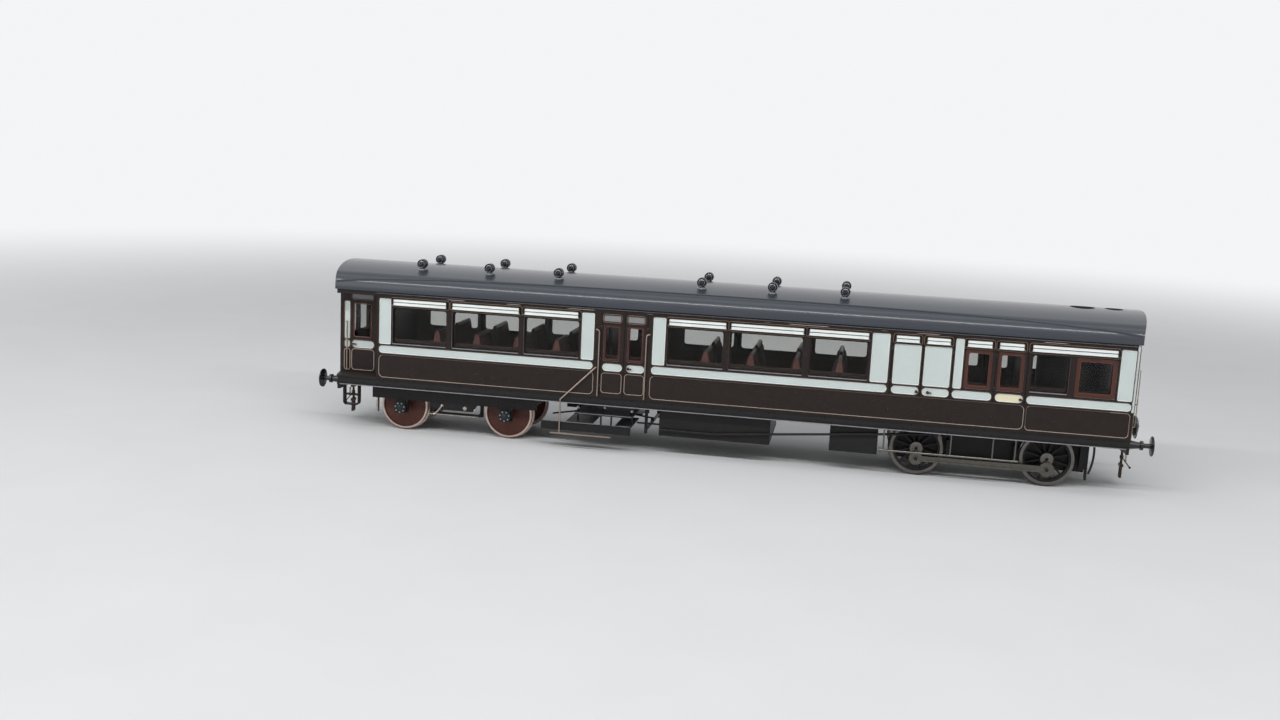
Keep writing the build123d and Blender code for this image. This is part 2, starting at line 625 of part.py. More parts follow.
# Water tanks between the bogies: name, left, right
TANKS = [("water_tank_long", -27.6, 29.0), ("water_tank_short", 58.9, 82.6)]
TANK_LOW = 9.6
TANK_INSET = 2.2
TANK_HALF = SOLEBAR_IN - TANK_INSET
TANK_EDGE_R = 0.5
for name, left, right in TANKS:
    with BuildPart() as tank:
        block(left, right, -TANK_HALF, TANK_HALF, TANK_LOW, UNDER_TOP)
        fillet(tank.edges().filter_by(Axis.Z), TANK_EDGE_R)
    finish(tank, name)

# Truss rods outside the tanks, from brackets on the long tank up to the solebars
TRUSS_R = 0.6
TRUSS_Y = TANK_HALF + 1.4
TRUSS_LOW = 13.0
TRUSS_START = TANKS[0][1] + 1.1
TRUSS_BEND = 1.0
TRUSS_END = 112.0
TRUSS_POSTS = [TRUSS_START + 1.5, TRUSS_BEND]
TRUSS_POST_HALF = 0.8
TRUSS_CLEAR = 0.05
TRUSS_BRACKET = (TRUSS_END - 2.4, TRUSS_END - 0.4)
TRUSS_BRACKET_TALL = 2.2
with BuildPart() as truss_rods:
    with BuildLine() as truss_line:
        Polyline((TRUSS_START, -TRUSS_Y, RAIL + TRUSS_LOW), (TRUSS_BEND, -TRUSS_Y, RAIL + TRUSS_LOW),
                 (TRUSS_END, -TRUSS_Y, RAIL + SOLEBAR_LOW - TRUSS_R - TRUSS_CLEAR))
    with BuildSketch(Plane(origin=truss_line.line @ 0, z_dir=truss_line.line % 0)):
        Circle(TRUSS_R)
    sweep(path=truss_line.line, transition=Transition.RIGHT)
    for x in TRUSS_POSTS:
        block(x - TRUSS_POST_HALF, x + TRUSS_POST_HALF, -TRUSS_Y, -TANK_HALF - FIT, TRUSS_LOW - TRUSS_R,
              TRUSS_LOW + TRUSS_R)
    block(*TRUSS_BRACKET, -TRUSS_Y - TRUSS_R, -TRUSS_Y + TRUSS_R, SOLEBAR_LOW - TRUSS_BRACKET_TALL,
          SOLEBAR_LOW - FIT)
    mirror(about=Plane.XZ)
finish(truss_rods, "truss_rods")

# Buffers: taper, collar, shank and head, revolved about their axis (distance, radius)
BUFFER_STEPS = [
    (0.0, 0.0), (0.0, 2.9), (0.8, 2.9), (0.8, 2.3), (6.6, 1.5), (6.6, 2.3), (7.8, 2.3), (7.8, 1.2),
    (11.4, 1.2), (11.7, 4.9), (12.2, 4.9), (BUFFER_REACH, 3.6), (BUFFER_REACH, 0.0),
]
with BuildPart() as buffers:
    for way in (-1, 1):
        for side in (-1, 1):
            base = Plane(origin=(way * CORNER_X, side * BUFFER_Y, RAIL + BUFFER_Z), x_dir=(way, 0, 0),
                         z_dir=(0, 1, 0))
            with BuildSketch(base):
                with BuildLine():
                    Polyline([(dist, radius) for dist, radius in BUFFER_STEPS], close=True)
                make_face()
            revolve(axis=Axis((way * CORNER_X, side * BUFFER_Y, RAIL + BUFFER_Z), (1, 0, 0)))
finish(buffers, "buffers")


def wheel_profile(tread, face_in, face_out):
    """Half section of a tyre with its flange on the inner side: (distance from centre line, radius)."""
    inner = tread - TYRE_THICK
    flange = FLANGE_DEEP
    return [
        (face_in, inner), (face_in, tread + flange * 0.7), (face_in + flange * 0.4, tread + flange),
        (face_in + flange * 0.9, tread + flange * 0.6), (face_in + flange * 1.2, tread), (face_out, tread),
        (face_out, inner),
    ]


def turned(x, z, points, side):
    """Ring turned about an axle at x and z from a half section: (distance along the axle, radius)."""
    with BuildSketch(Plane(origin=(x, 0, RAIL + z), x_dir=(0, 1, 0), z_dir=(1, 0, 0))) as section:
        with BuildLine():
            Polyline([(side * along, radius) for along, radius in points], close=True)
        make_face()
    revolve(section.sketch, axis=Axis((x, 0, RAIL + z), (0, 1, 0)))


def disc_at(x, y0, y1, z, radius, mode=Mode.ADD):
    """Round bar across the coach between two distances from the centre line."""
    with Locations((x, (y0 + y1) / 2, RAIL + z)):
        Cylinder(radius, abs(y1 - y0), rotation=(90, 0, 0), mode=mode)


# Trailing axles: steel tyres and axle in one node, wooden disc centres in another
TRAIL_AXLES = [("outer", TRAIL_X - TRAIL_BASE / 2), ("inner", TRAIL_X + TRAIL_BASE / 2)]
FRAME_OUTER = FRAME_Y + PLATE
JOURNAL_END = FRAME_OUTER + 0.8
SHOULDER_Y = TREAD_IN + AXLE_SHOULDER
DISC_SINK = 0.4
SEAT_FIT = 0.01
HUB_R = 3.3
HUB_PROUD = 0.2
HUB_TAPER = 0.4
# Half section of a disc centre, from the axle out: hub, dished boards, rim against the tyre
DISC_RIM = TRAIL_R - TYRE_THICK - SEAT_FIT
DISC_STEPS = [
    (TREAD_IN + DISC_SINK, AXLE_R + SEAT_FIT), (TREAD_IN + DISC_SINK, DISC_RIM),
    (TREAD_OUT - DISC_SINK, DISC_RIM), (TREAD_OUT - DISC_SINK, HUB_R),
    (TREAD_OUT + HUB_PROUD, HUB_R - HUB_TAPER), (TREAD_OUT + HUB_PROUD, AXLE_R + SEAT_FIT),
]
for where, x in TRAIL_AXLES:
    with BuildPart() as trailing_axle:
        disc_at(x, -SHOULDER_Y, SHOULDER_Y, TRAIL_R, AXLE_R)
        disc_at(x, -JOURNAL_END, JOURNAL_END, TRAIL_R, JOURNAL_R)
        for side in (-1, 1):
            turned(x, TRAIL_R, wheel_profile(TRAIL_R, TREAD_IN, TREAD_OUT), side)
    finish(trailing_axle, f"trailing_axle_{where}")
    with BuildPart() as disc_centres:
        for side in (-1, 1):
            turned(x, TRAIL_R, DISC_STEPS, side)
    finish(disc_centres, f"trailing_wheel_centres_{where}")

# Trailing bogie: outside plate frames, deeper in the middle and at the horns, headstocks, bolster and
# pivot boss
TRAIL_PLATE_LOW = 16.6
TRAIL_PLATE_TOP = 22.6
TRAIL_MID_HALF = 10.5
TRAIL_MID_LOW = 12.9
TRAIL_MID_SLOPE = 2.5
HORN_HALF = 3.6
HORN_LOW = 9.8
HEADSTOCK_HALF = 0.9
HEADSTOCK_LOW = 18.6
HEADSTOCK_X = TRAIL_HALF - 1.0
TRAIL_CROSS_HALF = 4.5
with BuildPart() as trailing_bogie_frame:
    for side in (-1, 1):
        y0 = side * FRAME_Y
        y1 = side * FRAME_OUTER
        block(TRAIL_X - TRAIL_HALF, TRAIL_X + TRAIL_HALF, y0, y1, TRAIL_PLATE_LOW, TRAIL_PLATE_TOP)
        for where, x in TRAIL_AXLES:
            block(x - HORN_HALF, x + HORN_HALF, y0, y1, HORN_LOW, TRAIL_PLATE_TOP)
        with BuildSketch(side_plane(-y0)):
            with BuildLine():
                Polyline((TRAIL_X - TRAIL_MID_HALF - TRAIL_MID_SLOPE, TRAIL_PLATE_LOW + FIT),
                         (TRAIL_X - TRAIL_MID_HALF, TRAIL_MID_LOW), (TRAIL_X + TRAIL_MID_HALF, TRAIL_MID_LOW),
                         (TRAIL_X + TRAIL_MID_HALF + TRAIL_MID_SLOPE, TRAIL_PLATE_LOW + FIT), close=True)
            make_face()
        extrude(amount=-side * PLATE)
    for way in (-1, 1):
        x = TRAIL_X + way * HEADSTOCK_X
        block(x - HEADSTOCK_HALF, x + HEADSTOCK_HALF, -FRAME_Y - FIT, FRAME_Y + FIT, HEADSTOCK_LOW,
              TRAIL_PLATE_TOP)
    block(TRAIL_X - TRAIL_CROSS_HALF, TRAIL_X + TRAIL_CROSS_HALF, -FRAME_Y - FIT, FRAME_Y + FIT,
          HEADSTOCK_LOW, TRAIL_PLATE_TOP)
    with Locations((TRAIL_X, 0, RAIL + BOGIE_TOP - PIVOT_BOSS_DEEP / 2)):
        Cylinder(PIVOT_BOSS_R, PIVOT_BOSS_DEEP)
        Cylinder(PIVOT_R + PIVOT_CLEAR, 3 * PIVOT_LONG, mode=Mode.SUBTRACT)
    for where, x in TRAIL_AXLES:
        disc_at(x, -LONG, LONG, TRAIL_R, JOURNAL_R + BEARING_FIT, Mode.SUBTRACT)
finish(trailing_bogie_frame, "trailing_bogie_frame")

# Axleboxes outside the frames, hollow for the journals, with round covers
BOX_HALF = 2.8
BOX_DEEP = 2.2
BOX_LOW = 9.9
BOX_TOP = 15.6
COVER_R = 3.2
COVER_DEEP = 0.5
with BuildPart() as trailing_axleboxes:
    for where, x in TRAIL_AXLES:
        for side in (-1, 1):
            y0 = side * (FRAME_OUTER + FIT)
            y1 = side * (FRAME_OUTER + BOX_DEEP)
            block(x - BOX_HALF, x + BOX_HALF, y0, y1, BOX_LOW, BOX_TOP)
            disc_at(x, y0, y1 + side * COVER_DEEP, TRAIL_R, COVER_R)
            disc_at(x, y0, side * (JOURNAL_END + BEARING_FIT), TRAIL_R, JOURNAL_R + BEARING_FIT,
                    Mode.SUBTRACT)
finish(trailing_axleboxes, "trailing_axleboxes")

# Driving axles: steel tyres in one node, spoked centres with cranks and axle in another
DRIVE_AXLES = [("inner", MOTOR_X - MOTOR_BASE / 2), ("outer", MOTOR_X + MOTOR_BASE / 2)]
SPOKES = 12
SPOKE_WIDE = 0.9
SPOKE_DEEP = 1.4
CENTRE_RIM = 1.1
CENTRE_HUB_R = 3.5
CRANK_R = 2.6
RIM_OUT = DRIVE_R - TYRE_THICK - SEAT_FIT
RIM_IN = RIM_OUT - CENTRE_RIM
SPOKE_START = 2.2
SPOKE_END = RIM_IN + 0.9
HUB_OUT = TREAD_OUT + 0.5
HUB_IN = TREAD_IN - 0.1
# The near crank points down and the far one a quarter turn away, towards the motor end
CRANKS = [(-1, 0.0, -CRANK_THROW), (1, CRANK_THROW, 0.0)]
PIN_REACH = 3.9
PIN_OUT = TREAD_OUT + PIN_REACH
for where, x in DRIVE_AXLES:
    with BuildPart() as driving_tyres:
        for side in (-1, 1):
            turned(x, DRIVE_R, wheel_profile(DRIVE_R, TREAD_IN, TREAD_OUT), side)
    finish(driving_tyres, f"driving_tyres_{where}")
    with BuildPart() as driving_centres:
        disc_at(x, -SHOULDER_Y, SHOULDER_Y, DRIVE_R, AXLE_R)
        for side, pin_x, pin_z in CRANKS:
            rim = [(TREAD_IN + DISC_SINK, RIM_IN), (TREAD_IN + DISC_SINK, RIM_OUT),
                   (TREAD_OUT - DISC_SINK, RIM_OUT), (TREAD_OUT - DISC_SINK, RIM_IN)]
            turned(x, DRIVE_R, rim, side)
            disc_at(x, side * HUB_IN, side * HUB_OUT, DRIVE_R, CENTRE_HUB_R)
            disc_at(x + pin_x, side * HUB_IN, side * HUB_OUT, DRIVE_R + pin_z, CRANK_R)
            disc_at(x + pin_x, side * TREAD_OUT, side * PIN_OUT, DRIVE_R + pin_z, CRANKPIN_R)
            mid = side * (TREAD_IN + TREAD_OUT) / 2
            with BuildSketch(Plane(origin=(x, mid - SPOKE_DEEP / 2, RAIL + DRIVE_R), x_dir=(1, 0, 0),
                                   z_dir=(0, 1, 0))):
                with PolarLocations(0, SPOKES, start_angle=15):
                    with Locations(((SPOKE_START + SPOKE_END) / 2, 0)):
                        Rectangle(SPOKE_END - SPOKE_START, SPOKE_WIDE)
            extrude(amount=SPOKE_DEEP)
    finish(driving_centres, f"driving_centres_{where}")

# Coupling rods between the crankpins, with round bosses at both ends
ROD_GAP = 0.9
ROD_THICK = 1.8
ROD_IN = TREAD_OUT + ROD_GAP
ROD_OUT = ROD_IN + ROD_THICK
ROD_CLEAR = 0.05
OPEN_HOLE = 0.35
ROD_TALL = (2.7, 3.3)
BOSS_R = (3.3, 3.6)
FLUTE_TALL = (1.1, 1.5)
FLUTE_DEEP = 0.4
FLUTE_START = 2.0


def rod_between(side, pin_x, pin_z):
    """Fluted, tapering rod with round bosses, bored for the crankpins; the outer bore is the open one."""
    x0 = DRIVE_AXLES[0][1] + pin_x
    x1 = DRIVE_AXLES[1][1] + pin_x
    face = Plane(origin=(0, side * ROD_IN, RAIL + DRIVE_R + pin_z), x_dir=(1, 0, 0), z_dir=(0, side, 0))
    start = ROD_TALL[0] / 2
    end = ROD_TALL[1] / 2
    with BuildSketch(face) as body:
        with BuildLine() as outline:
            Polyline((x0, -start), (x1, -end), (x1, end), (x0, start), close=True)
        make_face(outline.edges())
        with Locations((x0, 0)):
            Circle(BOSS_R[0])
        with Locations((x1, 0)):
            Circle(BOSS_R[1])
    extrude(body.sketch, amount=ROD_THICK, dir=(0, side, 0))
    flute_start = FLUTE_TALL[0] / 2
    flute_end = FLUTE_TALL[1] / 2
    left = x0 + BOSS_R[0] + FLUTE_START
    right = x1 - BOSS_R[1] - FLUTE_START
    with BuildSketch(face.offset(ROD_THICK)) as flute:
        with BuildLine() as groove:
            Polyline((left, -flute_start), (right, -flute_end), (right, flute_end), (left, flute_start),
                     close=True)
        make_face(groove.edges())
    extrude(flute.sketch, amount=FLUTE_DEEP, dir=(0, -side, 0), mode=Mode.SUBTRACT)
    with BuildSketch(face) as bores:
        with Locations((x0, 0)):
            Circle(CRANKPIN_R + ROD_CLEAR)
        with Locations((x1, 0)):
            Circle(CRANKPIN_R + OPEN_HOLE)
    extrude(bores.sketch, amount=ROD_THICK, dir=(0, side, 0), mode=Mode.SUBTRACT)


with BuildPart() as coupling_rod_near:
    rod_between(*CRANKS[0])
finish(coupling_rod_near, "coupling_rod_near")
with BuildPart() as coupling_rod_far:
    rod_between(*CRANKS[1])
finish(coupling_rod_far, "coupling_rod_far")

# Motor bogie: inside plate frames with stretchers and the pivot boss
MOTOR_PLATE_LOW = 7.0
MOTOR_PLATE_TOP = 21.6
STRETCHER_LOW = 9.0
STRETCHER_HALF = 1.0
MOTOR_BACK = MOTOR_X - MOTOR_HALF + 8.0
MOTOR_FRONT = MOTOR_X + MOTOR_HALF
STRETCHERS_X = [MOTOR_BACK + 2 * STRETCHER_HALF, MOTOR_FRONT - STRETCHER_HALF - 0.2]
MOTOR_CROSS_HALF = 7.0
MOTOR_CROSS_LOW = 17.0
with BuildPart() as motor_bogie_frame:
    for side in (-1, 1):
        block(MOTOR_BACK, MOTOR_FRONT, side * MOTOR_FRAME_Y, side * (MOTOR_FRAME_Y + PLATE), MOTOR_PLATE_LOW,
              MOTOR_PLATE_TOP)
    for x in STRETCHERS_X:
        block(x - STRETCHER_HALF, x + STRETCHER_HALF, -MOTOR_FRAME_Y - FIT, MOTOR_FRAME_Y + FIT,
              STRETCHER_LOW, MOTOR_PLATE_TOP)
    block(MOTOR_X - MOTOR_CROSS_HALF, MOTOR_X + MOTOR_CROSS_HALF, -MOTOR_FRAME_Y - FIT, MOTOR_FRAME_Y + FIT,
          MOTOR_CROSS_LOW, BOGIE_TOP)
    with Locations((MOTOR_X, 0, RAIL + BOGIE_TOP - PIVOT_BOSS_DEEP / 2)):
        Cylinder(PIVOT_BOSS_R, PIVOT_BOSS_DEEP)
        Cylinder(PIVOT_R + PIVOT_CLEAR, 4 * PIVOT_LONG, mode=Mode.SUBTRACT)
    for where, x in DRIVE_AXLES:
        disc_at(x, -TREAD_IN, TREAD_IN, DRIVE_R, AXLE_R + BEARING_FIT, Mode.SUBTRACT)
finish(motor_bogie_frame, "motor_bogie_frame")

# Grab rails: X, which way the top bends, bottom, top, face they stand on, radius of the bend
RAIL_R = 0.35
RAIL_OFF = 0.85
PEG_UP = 0.5
GRAB_RAILS = [
    (-59.5, -1, 28.6, 62.9, BODY_HALF, 1.5), (-35.3, 1, 28.6, 62.2, BODY_HALF, 1.5),
    (2 - CORNER_X, -1, 30.0, 56.0, RECESS_Y, 0.4),
]
BEND_SHARE = 1 - math.sqrt(0.5)
with BuildPart() as grab_rails:
    for x, way, low, top, face, bend in GRAB_RAILS:
        out = face + RAIL_OFF
        with BuildLine() as rail_line:
            Line((x, -out, RAIL + low), (x, -out, RAIL + top - bend))
            ThreePointArc((x, -out, RAIL + top - bend),
                          (x + way * bend * BEND_SHARE, -out, RAIL + top - bend * BEND_SHARE),
                          (x + way * bend, -out, RAIL + top))
        with BuildSketch(Plane(origin=(x, -out, RAIL + low), z_dir=(0, 0, 1))):
            Circle(RAIL_R)
        sweep(path=rail_line.line)
        for peg_x, peg_z in [(x, low + PEG_UP), (x + way * bend, top)]:
            disc_at(peg_x, -face - FIT, -out - RAIL_R - FIT, peg_z, RAIL_R)
    mirror(about=Plane.XZ)
finish(grab_rails, "grab_rails")

# Door handles: X, height, face they stand on
HANDLES = [
    (-44.3, 43.7, BODY_HALF - SUNK), (99.0, 43.7, BODY_HALF - SUNK), (104.4, 43.7, BODY_HALF - SUNK),
    (148.2, 43.7, BODY_HALF - SUNK), (5.4 - CORNER_X, 44.0, RECESS_Y - SUNK),
]
HANDLE_STEM = 1.0
HANDLE_R = 0.45
HANDLE_LONG = 2.4
HANDLE_THICK = 0.5
HANDLE_TALL = 0.6
HANDLE_SHIFT = 0.7
with BuildPart() as door_handles:
    for x, z, face in HANDLES:
        stem_end = face + FIT + HANDLE_STEM
        grip = x + HANDLE_SHIFT
        disc_at(x, -face - FIT, -stem_end, z, HANDLE_R)
        block(grip - HANDLE_LONG / 2, grip + HANDLE_LONG / 2, -stem_end + HANDLE_THICK / 2,
              -stem_end - HANDLE_THICK / 2, z - HANDLE_TALL / 2, z + HANDLE_TALL / 2)
    mirror(about=Plane.XZ)
finish(door_handles, "door_handles")


def bar_between(y, start, end, radius):
    """Round bar in a plane along the coach, between two points given as X and height."""
    foot = Vector(start[0], y, RAIL + start[1])
    head = Vector(end[0], y, RAIL + end[1])
    with BuildSketch(Plane(origin=foot, z_dir=head - foot)) as section:
        Circle(radius)
    extrude(section.sketch, amount=(head - foot).length)


# Folding steps below the centre doors: boards as left, right, height of the top, hung on straps from the
# floor, with two posts between the boards' front edges
TREAD_OUT_Y = BODY_HALF - 0.2
TREAD_IN_Y = 5.0
TREAD_THICK = 0.6
UPPER_STEP = 18.7
LOWER_STEP = 13.5
TREADS = [(-71.2, -41.0, UPPER_STEP), (-76.0, -62.0, LOWER_STEP), (-50.0, -41.5, LOWER_STEP)]
EDGE_BAR = (-89.0, TREADS[2][1])
EDGE_THICK = 0.7
POSTS_X = [-57.2, -51.8]
POST_DEEP = 1.2
HANGERS_X = [TREADS[0][0] + 0.6, TREADS[0][1] - 1.2]
HANGER_WIDE = 0.7
HANGER_Y = (TREAD_OUT_Y - 7.4, TREAD_OUT_Y - 6.2)
INNER_HANGERS_X = [TREADS[0][0] + 3.2, TREADS[0][1] - 4.4]
INNER_HANGER_Y = (TREAD_IN_Y + 1.0, TREAD_IN_Y + 2.2)
with BuildPart() as folding_steps:
    for left, right, top in TREADS:
        block(left, right, -TREAD_IN_Y, -TREAD_OUT_Y, top - TREAD_THICK, top)
    block(*EDGE_BAR, -TREAD_OUT_Y + EDGE_THICK, -TREAD_OUT_Y, LOWER_STEP - TREAD_THICK, LOWER_STEP)
    for x in POSTS_X:
        block(x - HANGER_WIDE / 2, x + HANGER_WIDE / 2, -TREAD_OUT_Y + POST_DEEP, -TREAD_OUT_Y + FIT,
              LOWER_STEP - FIT, UPPER_STEP - FIT)
    for x in HANGERS_X:
        block(x - HANGER_WIDE / 2, x + HANGER_WIDE / 2, -HANGER_Y[0], -HANGER_Y[1],
              LOWER_STEP - TREAD_THICK, UNDER_TOP)
    for x in INNER_HANGERS_X:
        block(x - HANGER_WIDE / 2, x + HANGER_WIDE / 2, -INNER_HANGER_Y[0], -INNER_HANGER_Y[1],
              UPPER_STEP - TREAD_THICK, UNDER_TOP)
    mirror(about=Plane.XZ)
finish(folding_steps, "folding_steps")

# Linkage between the left grab rail and the steps: diagonal, post and bottom bar
LINK_R = 0.42
LINK_OUT = BODY_HALF + 0.9
LINK_POST_X = -78.6
LINK_FOOT = 7.3
LINK_BEND = 25.4
LINK_HEAD = (GRAB_RAILS[0][0] - 1.0, 43.6)
FOOT_BAR = (LINK_POST_X - 4.6, LINK_POST_X + 27.2)
FOOT_THICK = 0.7
with BuildPart() as step_linkage:
    with BuildLine() as link_line:
        Polyline((LINK_HEAD[0], -LINK_OUT, RAIL + LINK_HEAD[1]), (LINK_POST_X, -LINK_OUT, RAIL + LINK_BEND),
                 (LINK_POST_X, -LINK_OUT, RAIL + LINK_FOOT))
    with BuildSketch(Plane(origin=link_line.line @ 0, z_dir=link_line.line % 0)):
        Circle(LINK_R)
    sweep(path=link_line.line, transition=Transition.RIGHT)
    block(*FOOT_BAR, -LINK_OUT - LINK_R, -LINK_OUT + LINK_R, LINK_FOOT, LINK_FOOT + FOOT_THICK)
    block(LINK_POST_X - LINK_R, LINK_POST_X + LINK_R, -LINK_OUT, -TREAD_OUT_Y - FIT,
          LOWER_STEP - TREAD_THICK, LOWER_STEP)
    mirror(about=Plane.XZ)
finish(step_linkage, "step_linkage")

# Brake rigging under the middle: cross shaft on two straps, stayed to the long tank, and its pull rods
SHAFT_X = -35.1
SHAFT_Z = 11.0
SHAFT_R = 0.8
STRAP_Y = 20.0
STRAP_HALF = 0.4
STRAP_LOW = 9.0
STAY_Z = 14.3
STAY_START = SHAFT_X - 4.9
CRANK_TOP = 13.4
ROD_R = 0.45
MIDDLE_HANGER = (-62.0, 16.0)
PULL_END = (-89.6, 11.0)
with BuildPart() as brake_rigging:
    disc_at(SHAFT_X, -STRAP_Y - STRAP_HALF, STRAP_Y + STRAP_HALF, SHAFT_Z, SHAFT_R)
    for side in (-1, 1):
        y0 = side * (STRAP_Y - STRAP_HALF)
        y1 = side * (STRAP_Y + STRAP_HALF)
        block(SHAFT_X - 2 * STRAP_HALF, SHAFT_X + 2 * STRAP_HALF, y0, y1, STRAP_LOW, UNDER_TOP)
        block(STAY_START, TANKS[0][1] - FIT, y0, y1, STAY_Z - STRAP_HALF, STAY_Z + STRAP_HALF)
    block(SHAFT_X - 2 * STRAP_HALF, SHAFT_X + 2 * STRAP_HALF, -STRAP_HALF, STRAP_HALF, SHAFT_Z, CRANK_TOP)
    bar_between(0, (SHAFT_X, CRANK_TOP - STRAP_HALF), MIDDLE_HANGER, ROD_R)
    bar_between(0, MIDDLE_HANGER, PULL_END, ROD_R)
    block(MIDDLE_HANGER[0] - STRAP_HALF, MIDDLE_HANGER[0] + STRAP_HALF, -2 * STRAP_HALF, 2 * STRAP_HALF,
          MIDDLE_HANGER[1] - 2 * STRAP_HALF, UNDER_TOP)
finish(brake_rigging, "brake_rigging")

# Stirrup steps below the driver's doors: a rounded loop with a second tread half way up
STIRRUP_X = (RECESS_X - 18.9, RECESS_X - 10.1)
STIRRUP_Y = BODY_HALF - 3.4
STIRRUP_HALF = 1.6
STIRRUP_LOW = 12.3
STIRRUP_R = 1.8
STIRRUP_BAR = 0.7
STIRRUP_STEP = 18.2
with BuildPart() as end_steps:
    with BuildSketch(side_plane(STIRRUP_Y + STIRRUP_HALF)):
        rounded(*STIRRUP_X, STIRRUP_LOW, SOLEBAR_LOW + STIRRUP_R, STIRRUP_R)
        rounded(STIRRUP_X[0] + STIRRUP_BAR, STIRRUP_X[1] - STIRRUP_BAR, STIRRUP_LOW + STIRRUP_BAR,
                SOLEBAR_LOW + 2 * STIRRUP_R, STIRRUP_R - STIRRUP_BAR, Mode.SUBTRACT)
        with Locations((RECESS_X, SOLEBAR_LOW - FIT + DEEP / 2)):
            Rectangle(2 * RECESS_LENGTH + DEEP, DEEP, mode=Mode.SUBTRACT)
    extrude(amount=-2 * STIRRUP_HALF)
    block(STIRRUP_X[0] + FIT, STIRRUP_X[1] - FIT, -STIRRUP_Y - STIRRUP_HALF, -STIRRUP_Y + STIRRUP_HALF,
          STIRRUP_STEP - TREAD_THICK, STIRRUP_STEP)
    mirror(about=Plane.XZ)
finish(end_steps, "end_steps")

# Gong on the motor end: a dished plate on a short stem (distance along the coach, radius)
GONG_Y = -14.0
GONG_Z = 32.5
GONG_START = BOW_TIP - 0.65
GONG_STEPS = [(0.0, 0.0), (0.0, 1.3), (0.75, 1.3), (0.75, 4.9), (1.35, 4.95), (2.25, 3.6), (2.65, 0.0)]
with BuildPart() as gong:
    with BuildSketch(Plane(origin=(0, GONG_Y, RAIL + GONG_Z), x_dir=(1, 0, 0), z_dir=(0, 1, 0))):
        with BuildLine():
            Polyline([(GONG_START + along, radius) for along, radius in GONG_STEPS], close=True)
        make_face()
    revolve(axis=Axis((0, GONG_Y, RAIL + GONG_Z), (1, 0, 0)))
finish(gong, "gong")

# Feed pipes along the motor bogie, hung from the solebars, with a union at the rear end
PIPE_R = 0.55
PIPE_Y = SOLEBAR_Y - 0.7
PIPE_Z = 12.8
PIPE_X = (TANKS[1][2] + 1.4, 150.0)
PIPE_UNION_R = 1.1
PIPE_UNION_HALF = 0.6
PIPE_POST_R = 0.4
PIPE_POSTS_X = [PIPE_X[0] + 1.5, 117.8, 137.8, PIPE_X[1] - 1.6]
PIPE_BRACKET = (PIPE_POSTS_X[0] + 2.6, PIPE_POSTS_X[0] + 4.2)
PIPE_BRACKET_TALL = 1.4
with BuildPart() as feed_pipes:
    bar_between(-PIPE_Y, (PIPE_X[0], PIPE_Z), (PIPE_X[1], PIPE_Z), PIPE_R)
    bar_between(-PIPE_Y, (PIPE_X[0] - PIPE_UNION_HALF, PIPE_Z), (PIPE_X[0] + PIPE_UNION_HALF, PIPE_Z),
                PIPE_UNION_R)
    for x in PIPE_POSTS_X:
        with Locations((x, -PIPE_Y, RAIL + (PIPE_Z + SOLEBAR_LOW - FIT) / 2)):
            Cylinder(PIPE_POST_R, SOLEBAR_LOW - FIT - PIPE_Z)
    block(*PIPE_BRACKET, -PIPE_Y - PIPE_R, -PIPE_Y + PIPE_R, SOLEBAR_LOW - PIPE_BRACKET_TALL,
          SOLEBAR_LOW - FIT)
    mirror(about=Plane.XZ)
finish(feed_pipes, "feed_pipes")

# Stiff pipes at the motor end, bent back towards the bogie, on brackets behind the headstock
HOSE_R = 0.55
HOSE_Y = SOLEBAR_IN - 5.2
HOSE_X = CORNER_X - 15.0
HOSE_POINTS = [(HOSE_X, SOLEBAR_LOW + HOSE_R), (HOSE_X + 0.3, 16.0), (HOSE_X - 1.4, 8.4)]
HOSE_CLIP = 1.2
HOSE_CLIP_TALL = 1.0
with BuildPart() as end_hoses:
    block(HOSE_X - HOSE_CLIP, HOSE_X + HOSE_CLIP, -HOSE_Y + HOSE_CLIP, -SOLEBAR_IN + FIT, SOLEBAR_LOW,
          SOLEBAR_LOW + HOSE_CLIP_TALL)
    with BuildLine() as hose_line:
        ThreePointArc(*[(x, -HOSE_Y, RAIL + z) for x, z in HOSE_POINTS])
    with BuildSketch(Plane(origin=hose_line.line @ 0, z_dir=hose_line.line % 0)):
        Circle(HOSE_R)
    sweep(path=hose_line.line)
    mirror(about=Plane.XZ)
finish(end_hoses, "end_hoses")

# Drawhooks in the middle of both headstocks, with an eye for the coupling's pin
HOOK_EYE = CORNER_X + 2.8
HOOK_EYE_R = 0.55
HOOK_HALF = 0.6
HOOK_SHANK_HALF = 1.3
HOOK_NOSE = (HOOK_EYE + HOOK_SHANK_HALF, HOOK_EYE + 2 * HOOK_SHANK_HALF)
HOOK_TIP_Z = (BUFFER_Z - 0.2, BUFFER_Z + 2.6)
PLATE_HALF = 2.2
HOOK_PLATE = 0.6
HOOK_LAP = 0.1
with BuildPart() as drawhooks:
    for way in (-1, 1):
        block(way * (CORNER_X + FIT), way * (CORNER_X + HOOK_PLATE), -PLATE_HALF, PLATE_HALF,
              BUFFER_Z - PLATE_HALF, BUFFER_Z + PLATE_HALF)
        block(way * (CORNER_X + HOOK_PLATE - HOOK_LAP), way * (HOOK_NOSE[0] + 2 * HOOK_LAP), -HOOK_HALF,
              HOOK_HALF, BUFFER_Z - HOOK_SHANK_HALF, BUFFER_Z + HOOK_SHANK_HALF)
        block(way * HOOK_NOSE[0], way * HOOK_NOSE[1], -HOOK_HALF, HOOK_HALF, *HOOK_TIP_Z)
        disc_at(way * HOOK_EYE, -DEEP, DEEP, BUFFER_Z, HOOK_EYE_R, Mode.SUBTRACT)
finish(drawhooks, "drawhooks")

